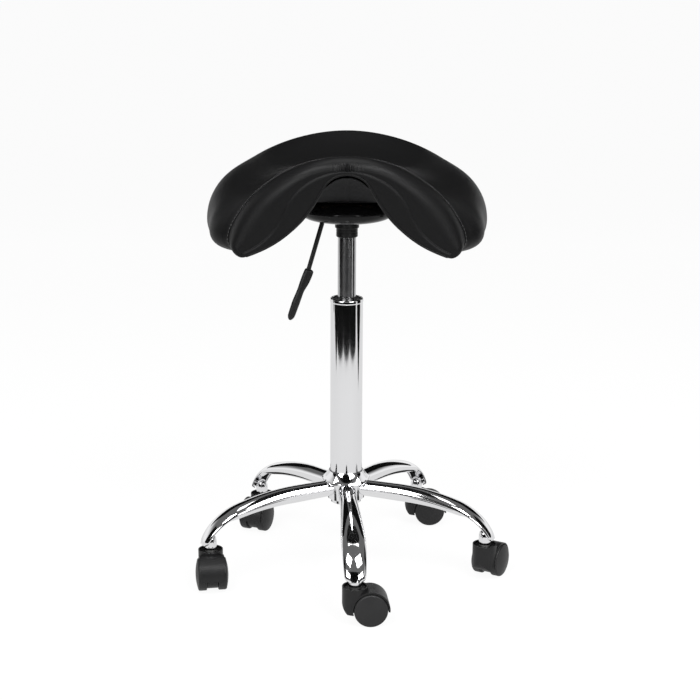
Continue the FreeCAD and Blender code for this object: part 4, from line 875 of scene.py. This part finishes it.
def hub_cover_grid(inset):
    """Cone from a circle at its neck to a five-sided edge: the radius at an angle is the flat's
    distance over the cosine of the angle from the nearest arm, eased in by the square of the drop."""
    angle = np.linspace(0.0, FULL_TURN, 240, endpoint=False)
    near = np.min([np.abs((angle - a + math.pi) % FULL_TURN - math.pi) for a in ARM_ANGLES], 0)
    star = (33.8 + 0.9 * np.cos(near * 5)) / np.cos(near)
    t = np.linspace(0.0, 1.0, 18)[:, None]
    radius = HUB_NECK + (star - HUB_NECK) * (0.72 * t + 0.28 * t ** 2)
    lip = 0.5 * smooth_step(t, 0.86, 1.0)
    radius = radius + lip - inset
    z = HUB_TOP - HUB_DROP * t + np.zeros_like(radius)
    z = z - inset * 0.35
    return np.stack([radius * np.cos(angle), radius * np.sin(angle), z], -1)


# ---------------------------------------------------------------- operators


STITCHES_BESIDE_SEAM = 4.2
STITCH_STEP = 1.35
WELT_ROW = 4


class StoolPiece:
    """Shared settings of the operators below."""

    bl_options = {"REGISTER", "UNDO"}


class STOOL_OT_seat(StoolPiece, Operator):
    """Draws the padded saddle in black leatherette"""

    bl_idname = "stool.seat"
    bl_label = "Padded saddle"

    def execute(self, context):
        make_cover()
        return {"FINISHED"}


class STOOL_OT_seam(StoolPiece, Operator):
    """Sews the topstitched seam across the front of the saddle"""

    bl_idname = "stool.seam"
    bl_label = "Topstitched seam"

    def execute(self, context):
        half = half_cover()
        columns = np.arange(1, len(TOP_STEPS) + len(SIDE_STEPS) + 4)
        right = line_on_cover(
            half, saddle_stations()[0], lambda x: seam_place(x) - STITCHES_BESIDE_SEAM, columns
        )
        path = np.concatenate([right[::-1] * MIRROR, right])
        points, direction = spaced(path, sizes().stitch / MM * STITCH_STEP)
        side = np.where(points[:, :1] < 0, MIRROR, 1.0)
        flat = half.reshape(-1, 3)
        nearest = [np.argmin(((flat - point) ** 2).sum(1)) for point in points * side]
        normal = normals_of(half).reshape(-1, 3)[nearest] * side
        direction = direction - normal * (direction * normal).sum(1)[:, None]
        direction /= np.linalg.norm(direction, axis=1)[:, None]
        made = stitches(points, direction, normal, sizes().stitch / MM, sizes().thread / MM)
        dress(welded(mesh_object("seam_stitching", *made)), "seam thread", "seat_carriage")
        return {"FINISHED"}


class STOOL_OT_welt(StoolPiece, Operator):
    """Lays the piping round the seat's lower edge and over the notch"""

    bl_idname = "stool.welt"
    bl_label = "Edge piping"

    def execute(self, context):
        half = half_cover()
        corner = OUTER_COLUMNS - 1
        last = len(half) - WELT_ROW - 1
        front = half[WELT_ROW, corner:][::-1]
        right = np.concatenate([front, half[WELT_ROW + 1:last, corner], half[last, corner:]])
        path = np.concatenate([right, (right * MIRROR)[::-1][1:-1]]) - np.array([0.0, 0.0, 0.2])
        for i in range(3):
            path[:, i] = evened(path[:, i], path[-2:, i], path[:2, i], 5)
        piece = grid_piece("edge_piping", ring_tube(path, sizes().welt / MM, 10), True)
        dress(piece, "black leatherette", "seat_carriage")
        return {"FINISHED"}


CLOTH_PLACES = np.concatenate([
    np.linspace(-146.0, -57.0, 40), np.linspace(-57.0, 57.0, 24)[1:-1], np.linspace(57.0, 162.0, 30)
])
CLOTH_THICKNESS = 0.0008
CLOTH_REACH = 0.74
CLOTH_BELOW = 1.1
BLOCK_HALF = 63.0
OPENING_X = 46.5
OPENING_Y = 57.5


class STOOL_OT_cloth(StoolPiece, Operator):
    """Stretches the dust cloth under the arch of the saddle"""

    bl_idname = "stool.cloth"
    bl_label = "Dust cloth"

    def execute(self, context):
        place = CLOTH_PLACES
        _, _, _, inner, haunch, apex, _ = key_values(place)
        slack = np.clip((156.0 - np.abs(place)) / 100.0, 0.0, 1.0)
        apex = apex + (1.0 - apex) * slack
        haunch_x = haunch[0] + (BLOCK_HALF - haunch[0]) * slack
        haunch_z = haunch[1] + (-1.0 - haunch[1]) * slack
        t = np.concatenate([np.linspace(0.0, 46.0, 15), np.linspace(46.0, 63.0, 6)[1:]]) / BLOCK_HALF
        middle_x = haunch_x[:, None] * t
        middle_z = apex[:, None] + (haunch_z - apex)[:, None] * t ** 2 - CLOTH_BELOW
        s = np.linspace(0.0, 1.0, 22)[1:]
        foot_x, foot_z = blended(haunch, inner, CLOTH_REACH)
        out_x = haunch_x[:, None] + (foot_x - haunch_x)[:, None] * s
        sag = 2.0 * np.sin(math.pi * s)
        out_z = (haunch_z - CLOTH_BELOW)[:, None] + (foot_z - haunch_z)[:, None] * s - sag
        x = np.concatenate([middle_x, out_x], 1)
        z = np.concatenate([middle_z, out_z], 1)
        crease = 0.9 * bump(x, 0.0, 1.6)
        ripple = 0.35 * np.sin(x * 0.21 + place[:, None] * 0.05) * smooth_step(np.abs(x), 4.0, 30.0)
        grid = leaned(x, place, z - crease + ripple)
        loop = np.concatenate([grid[:, ::-1][:, :-1] * MIRROR, grid], 1)
        rows, columns = loop.shape[:2]
        faces = np.array(grid_faces(rows, columns))
        points = loop.reshape(-1, 3)
        middle = points[faces].mean(1)
        along = place[faces[:, 0] // columns] + 1.0
        hole = (np.abs(middle[:, 0]) < OPENING_X) & (np.abs(along) < OPENING_Y)
        piece = mesh_object("dust_cloth", points, faces[~hole].tolist())
        wall = piece.modifiers.new("thickness", "SOLIDIFY")
        wall.thickness = CLOTH_THICKNESS
        wall.offset = 0.0
        dress(piece, "dust fabric", "seat_carriage", ("dust_cover",))
        return {"FINISHED"}


class STOOL_OT_dish(StoolPiece, Operator):
    """Moulds the gloss black dish and the stepped collar under it"""

    bl_idname = "stool.dish"
    bl_label = "Dish and collar"

    def execute(self, context):
        dish = welded(mesh_object("dish_moulding", *make_dish()))
        dress(dish, "gloss black moulding", "seat_carriage", ("dish_cover",))
        profile = rounded_profile([
            (14.05, 531.9), (15.4, 531.9, 0.5), (16.4, 532.9, 0.5), (16.4, 539.0, 0.2),
            (16.05, 539.3, 0.1), (16.05, 540.0, 0.1), (16.4, 540.3, 0.2), (16.4, 545.9, 0.4),
            (17.7, 545.9, 0.4), (18.35, 546.5, 0.4), (18.35, 552.3, 0.4), (17.8, 552.9, 0.3), (14.05, 552.9),
        ])
        collar = turned("collar_moulding", profile, 96)
        dress(collar, "black nylon", "seat_carriage", ("socket_collar",))
        return {"FINISHED"}


class STOOL_OT_column(StoolPiece, Operator):
    """Turns the chrome column with its rolled lip and the ground gas cylinder"""

    bl_idname = "stool.column"
    bl_label = "Column and gas cylinder"

    def execute(self, context):
        low, high = (corner.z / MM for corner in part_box("column_tube"))
        profile = rounded_profile([
            (21.8, low), (23.8, low, 0.3), (25.0, low + 42.0, 4.0), (25.0, high - 6.3, 0.5),
            (25.62, high - 5.4, 0.5), (25.62, high - 1.2, 0.9), (24.6, high, 0.6), (23.6, high, 0.3),
            (23.0, high - 0.9, 0.5), (23.0, low + 42.0, 3.0),
        ])
        column = turned("column_chrome", profile, 144)
        dress(column, "chrome plate", "base", ("column_tube",))
        foot, head = (corner.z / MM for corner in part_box("lift_cylinder"))
        profile = rounded_profile([
            (12.0, foot), (13.2, foot, 0.2), (14.0, foot + 0.8, 0.4), (14.0, 552.9, 2.0),
            (13.3, head - 0.6, 0.4), (12.9, head, 0.3), (3.05, head, 0.1), (3.05, head - 32.0, 0.1),
            (12.0, head - 32.0, 0.2),
        ])
        cylinder = turned("gas_cylinder", profile, 96)
        dress(cylinder, "ground steel", "seat_carriage", ("lift_cylinder",))
        return {"FINISHED"}


class STOOL_OT_arms(StoolPiece, Operator):
    """Presses the five chrome arms, their stem sockets and the hub cover"""

    bl_idname = "stool.arms"
    bl_label = "Chrome base"

    def execute(self, context):
        grid = arm_grid()
        rows, columns = grid.shape[:2]
        tip = (rows - 1) * columns
        rim = [
            [tip + i, tip + i + 1, tip + columns - 2 - i, tip + columns - 1 - i]
            for i in range(columns // 2 - 1)
        ]
        for number, angle in enumerate(ARM_ANGLES, 1):
            piece = grid_piece(f"arm_chrome_{number}", turned_about(grid, angle), extra=rim)
            dress(piece, "chrome plate", "base", (f"arm_{number}",))
        socket = revolved(rounded_profile([
            (5.6, 57.6), (9.2, 57.6, 0.3), (9.75, 58.2, 0.3), (9.75, 69.8, 1.2), (8.4, 76.6, 2.2),
            (4.0, 80.6, 2.0), (0.02, 80.9),
        ]), 48)
        socket[..., 0] += STEM_REACH
        rows, columns = socket.shape[:2]
        points = np.concatenate([turned_about(socket, angle).reshape(-1, 3) for angle in ARM_ANGLES])
        one = np.array(grid_faces(rows, columns, False, True))
        faces = np.concatenate([one + i * rows * columns for i in range(len(ARM_ANGLES))]).tolist()
        sockets = welded(mesh_object("stem_sockets", points, faces))
        dress(sockets, "chrome plate", "base", ("caster_sleeves",))
        grid = np.concatenate([hub_cover_grid(0.0), hub_cover_grid(HUB_WALL)[::-1]])
        dress(grid_piece("hub_chrome", grid, True), "chrome plate", "base", ("hub_cover",))
        return {"FINISHED"}


class STOOL_OT_grip(StoolPiece, Operator):
    """Moulds the waisted paddle of the release lever"""

    bl_idname = "stool.grip"
    bl_label = "Lever grip"

    def execute(self, context):
        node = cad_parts["lever_handle"]
        points = np.zeros(len(node.data.vertices) * 3)
        node.data.vertices.foreach_get("co", points)
        points = points.reshape(-1, 3) / MM
        centre = (points.max(0) + points.min(0)) / 2
        spread = points - points.mean(0)
        axes = np.linalg.svd(spread, full_matrices=False)[2]
        along = axes[0] * (-1.0 if axes[0][2] > 0 else 1.0)
        across = np.array([-along[2], 0.0, along[0]])
        across *= 1.0 if across[0] > 0 else -1.0
        reach = (points - centre) @ along
        start, length = reach.min(), np.ptp(reach) + GRIP_LONGER
        head, foot = GRIP_ENDS
        t = np.concatenate([
            (1 - np.cos(np.linspace(0, math.pi / 2, 7))) * head, np.linspace(head, foot, 40)[1:],
            foot + (1 - foot) * np.sin(np.linspace(0, math.pi / 2, 9))[1:],
        ])
        close = np.sqrt(np.clip(1 - np.clip((head - t) / head, 0, 1) ** 4, 0, 1))
        close = close * np.sqrt(np.clip(1 - np.clip((t - foot) / (1 - foot), 0, 1) ** 2, 0, 1))
        sides = [np.interp(t, GRIP_PLACES, widths) for widths in GRIP_WIDTHS]
        left, right, thick = (evened(side, side[[0, 0]], side[[-1, -1]], 5) * close for side in sides)
        angle = np.linspace(0.0, FULL_TURN, 40, endpoint=False)
        waves = np.stack([np.cos(angle), np.sin(angle)])
        flat, deep = np.sign(waves) * np.abs(waves) ** GRIP_SQUARENESS
        width = np.where(flat > 0, right[:, None], left[:, None]) * flat
        grid = (
            centre + (start + t * length)[:, None, None] * along + width[:, :, None] * across
            + (thick[:, None] * deep)[:, :, None] * np.array([0.0, 1.0, 0.0])
        )
        dress(grid_piece("lever_grip", grid), "black nylon", "lever", ("lever_handle",))
        return {"FINISHED"}


# The first row with a fitting name wins, and a name in no row is plated steel.
FITTINGS = {
    "black nylon": ("caster_hood", "lever_handle", "guide_bush", "cylinder_gland", "piston", "socket_collar"),
    "wheel nylon": ("caster_wheel",),
    "black paint": ("lever_rod", "seat_plate"),
    "black rubber": ("rubber_buffer",),
    "beech plywood": ("mounting_block", "seat_shell"),
    "moulded foam": ("seat_foam",),
    "black leatherette": ("seat_cover",),
    "dust fabric": ("dust_cover",),
    "gloss black moulding": ("dish_cover",),
    "ground steel": ("lift_cylinder",),
    "chrome plate": ("column_tube", "arm_", "hub_tube", "hub_cover", "caster_sleeves"),
}


class STOOL_OT_fittings(StoolPiece, Operator):
    """Finishes the pieces that keep their own solids: casters, lever, plate and the inner parts"""

    bl_idname = "stool.fittings"
    bl_label = "Fittings"

    def execute(self, context):
        for name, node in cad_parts.items():
            fitting = [key for key, starts in FITTINGS.items() if name.startswith(starts)]
            material = finish((fitting + ["zinc plated steel"])[0])
            if len(node.data.materials) == 0:
                node.data.materials.append(material)
            for slot in node.material_slots:
                slot.material = material
        return {"FINISHED"}


class STOOL_OT_stage(StoolPiece, Operator):
    """Sets the pale floor, the dark cards, the soft lights and the camera"""

    bl_idname = "stool.stage"
    bl_label = "Studio"

    def execute(self, context):
        scene = context.scene
        scene.view_settings.view_transform = "Standard"
        make_floor()
        for card in DARK_CARDS:
            make_card(*card)
        for lamp in SOFTBOXES:
            make_softbox(*lamp)
        make_world(scene)
        make_camera(scene)
        return {"FINISHED"}


FLOOR_HALF = 45.0
# Name, place, width and height, direction that it faces in degrees, and how far its foot is cut away.
DARK_CARDS = (
    ("dark_card_left", (-1.17, -0.25, 0.45), (0.85, 0.9), 102.0, 0.35),
    ("dark_card_right", (1.05, 0.07, 0.45), (0.62, 0.9), -86.0, 0.35),
    ("dark_card_low", (0.0, -1.30, 0.25), (1.1, 0.5), 0.0, 0.0),
    ("dark_card_low_left", (-0.92, -0.92, 0.25), (1.1, 0.5), -45.0, 0.0),
    ("dark_card_low_right", (0.92, -0.92, 0.25), (1.1, 0.5), 45.0, 0.0),
    ("dark_card_front", (0.0, -3.3, 2.05), (5.6, 1.7), 0.0, 0.0),
    ("dark_card_back", (0.0, 2.7, 1.83), (6.0, 2.0), 0.0, 0.0),
)
SOFTBOXES = (
    ("softbox_left", (-0.95, -1.25, 2.35), (1.1, 0.9), 36.0),
    ("softbox_right", (0.95, -1.25, 2.35), (1.1, 0.9), 42.0),
    ("softbox_low_left", (-1.5, -2.1, 1.05), (1.3, 1.2), 30.0),
    ("softbox_low_right", (1.5, -2.1, 1.05), (1.3, 1.2), 30.0),
    ("softbox_over", (0.0, 0.35, 2.7), (1.8, 0.9), 15.0),
)
WORLD_LOW = 0.95
WORLD_HIGH = 0.14
WORLD_TURN = (0.18, 0.52)
WORLD_FILL = 0.5
AIM = (0.0, 0.0, 0.42)
MIRROR_LOSS = 0.22
FLOOR_WHITE = 0.93
SENSOR = 36.0
FOCAL_PIXELS = 1561.9
PICTURE_PIXELS = 700.0
CAMERA_PLACE = (0.00251, -2.3392, 0.9643)
CAMERA_DOWN = 0.2553
CAMERA_ROLL = -0.0047


def whiten(tree, shader, amount):
    """Mixes a plain white into a material for the camera and, a little darker, for glossy rays."""
    rays = tree.nodes.new("ShaderNodeLightPath")
    seen = math_node(tree, "MAXIMUM", rays.outputs["Is Camera Ray"], rays.outputs["Is Glossy Ray"])
    share = math_node(tree, "MULTIPLY", seen, amount)
    white = tree.nodes.new("ShaderNodeEmission")
    white.inputs["Color"].default_value = (1.0, 1.0, 1.0, 1.0)
    mirrored = math_node(tree, "MULTIPLY", rays.outputs["Is Glossy Ray"], MIRROR_LOSS)
    tree.links.new(math_node(tree, "SUBTRACT", 1.0, mirrored), white.inputs["Strength"])
    mix = tree.nodes.new("ShaderNodeMixShader")
    tree.links.new(share, mix.inputs[0])
    tree.links.new(shader.outputs[0], mix.inputs[1])
    tree.links.new(white.outputs[0], mix.inputs[2])
    tree.links.new(mix.outputs[0], tree.nodes["Material Output"].inputs["Surface"])


def make_floor():
    """White studio floor."""
    points = np.array([[-1, -1, 0], [1, -1, 0], [1, 1, 0], [-1, 1, 0]], float) * FLOOR_HALF / MM
    floor = mesh_object("studio_floor", points, [[0, 1, 2, 3]], False)
    material, tree, shader = new_material("studio white", 0.9, 0.7, 0.2)
    whiten(tree, shader, FLOOR_WHITE)
    floor.data.materials.append(material)


def make_card(name, place, size, facing, point):
    """Black card that the chrome mirrors as its dark stripes. Its foot may come to a point."""
    low = point - 1.0
    points = np.array([[0, -1, 0], [1, low, 0], [1, 1, 0], [-1, 1, 0], [-1, low, 0]], float)
    points = points * np.array([size[0] / 2, size[1] / 2, 0.0]) / MM
    card = mesh_object(name, points, [[0, 1, 2, 3, 4]], False)
    card.rotation_euler = (math.pi / 2, 0.0, math.radians(facing))
    card.location = place
    card.visible_camera = False
    card.visible_shadow = False
    card.data.materials.append(new_material(name, 0.004, 0.9, 0.0)[0])


def make_softbox(name, place, size, power):
    """Rectangular area light aimed at the middle of the stool."""
    data = bpy.data.lights.new(name, "AREA")
    data.shape = "RECTANGLE"
    data.size, data.size_y = size
    data.energy = power
    lamp = bpy.data.objects.new(name, data)
    lamp.location = place
    aim = np.array(AIM) - np.array(place)
    flat = math.hypot(aim[0], aim[1])
    heading = math.atan2(aim[1], aim[0]) - math.pi / 2
    lamp.rotation_euler = (math.pi / 2 + math.atan2(aim[2], flat), 0.0, heading)
    bpy.context.scene.collection.objects.link(lamp)


def make_world(scene):
    """White for the camera. For everything else the sky is white at the horizon and dark above."""
    world = bpy.data.worlds.new("studio")
    scene.world = world
    world.use_nodes = True
    tree = world.node_tree
    rays = tree.nodes.new("ShaderNodeLightPath")
    place = tree.nodes.new("ShaderNodeTexCoord")
    split = tree.nodes.new("ShaderNodeSeparateXYZ")
    tree.links.new(place.outputs["Generated"], split.inputs[0])
    fade = map_range(tree, split.outputs["Z"], WORLD_TURN, (WORLD_LOW, WORLD_HIGH), "SMOOTHSTEP")
    soft = math_node(tree, "MULTIPLY", rays.outputs["Is Diffuse Ray"], WORLD_FILL)
    shown = math_node(tree, "MAXIMUM", fade, soft)
    strength = math_node(tree, "MAXIMUM", rays.outputs["Is Camera Ray"], shown)
    back = tree.nodes["Background"]
    back.inputs["Color"].default_value = (1.0, 1.0, 1.0, 1.0)
    tree.links.new(strength, back.inputs["Strength"])


def make_camera(scene):
    """Camera of the photograph: 2339 mm in front, 964 mm up, 14.63 degrees down."""
    data = bpy.data.cameras.new("studio_camera")
    data.sensor_width = SENSOR
    data.sensor_fit = "HORIZONTAL"
    data.lens = FOCAL_PIXELS / PICTURE_PIXELS * SENSOR
    data.clip_end = 60.0
    camera = bpy.data.objects.new("studio_camera", data)
    camera.rotation_mode = "XYZ"
    camera.location = CAMERA_PLACE
    camera.rotation_euler = (math.pi / 2 - CAMERA_DOWN, CAMERA_ROLL, 0.0)
    scene.collection.objects.link(camera)
    scene.camera = camera


class STOOL_PT_sidebar(Panel):
    """Lists the pieces of the stool and their settings"""

    bl_label = "Saddle stool"
    bl_idname = "STOOL_PT_sidebar"
    bl_space_type = "VIEW_3D"
    bl_region_type = "UI"
    bl_category = "Stool"

    def draw(self, context):
        column = self.layout.column()
        for operator in PIECES:
            column.operator(operator.bl_idname)
        for settings in (context.scene.stool_sizes, context.scene.stool_colours):
            for label in type(settings).__annotations__:
                column.prop(settings, label)


PIECES = (
    STOOL_OT_seat, STOOL_OT_seam, STOOL_OT_welt, STOOL_OT_cloth, STOOL_OT_dish, STOOL_OT_grip,
    STOOL_OT_column, STOOL_OT_arms, STOOL_OT_fittings, STOOL_OT_stage,
)
CLASSES = (StoolSizes, StoolColours) + PIECES + (STOOL_PT_sidebar,)


def register():
    for cls in CLASSES:
        bpy.utils.register_class(cls)
    bpy.types.Scene.stool_sizes = PointerProperty(type=StoolSizes)
    bpy.types.Scene.stool_colours = PointerProperty(type=StoolColours)


def unregister():
    del bpy.types.Scene.stool_colours
    del bpy.types.Scene.stool_sizes
    for cls in reversed(CLASSES):
        bpy.utils.unregister_class(cls)


def main():
    register()
    bpy.ops.stool.fittings()
    bpy.ops.stool.seat()
    bpy.ops.stool.seam()
    bpy.ops.stool.welt()
    bpy.ops.stool.cloth()
    bpy.ops.stool.dish()
    bpy.ops.stool.grip()
    bpy.ops.stool.column()
    bpy.ops.stool.arms()
    bpy.ops.stool.stage()


if __name__ == "__main__":
    main()
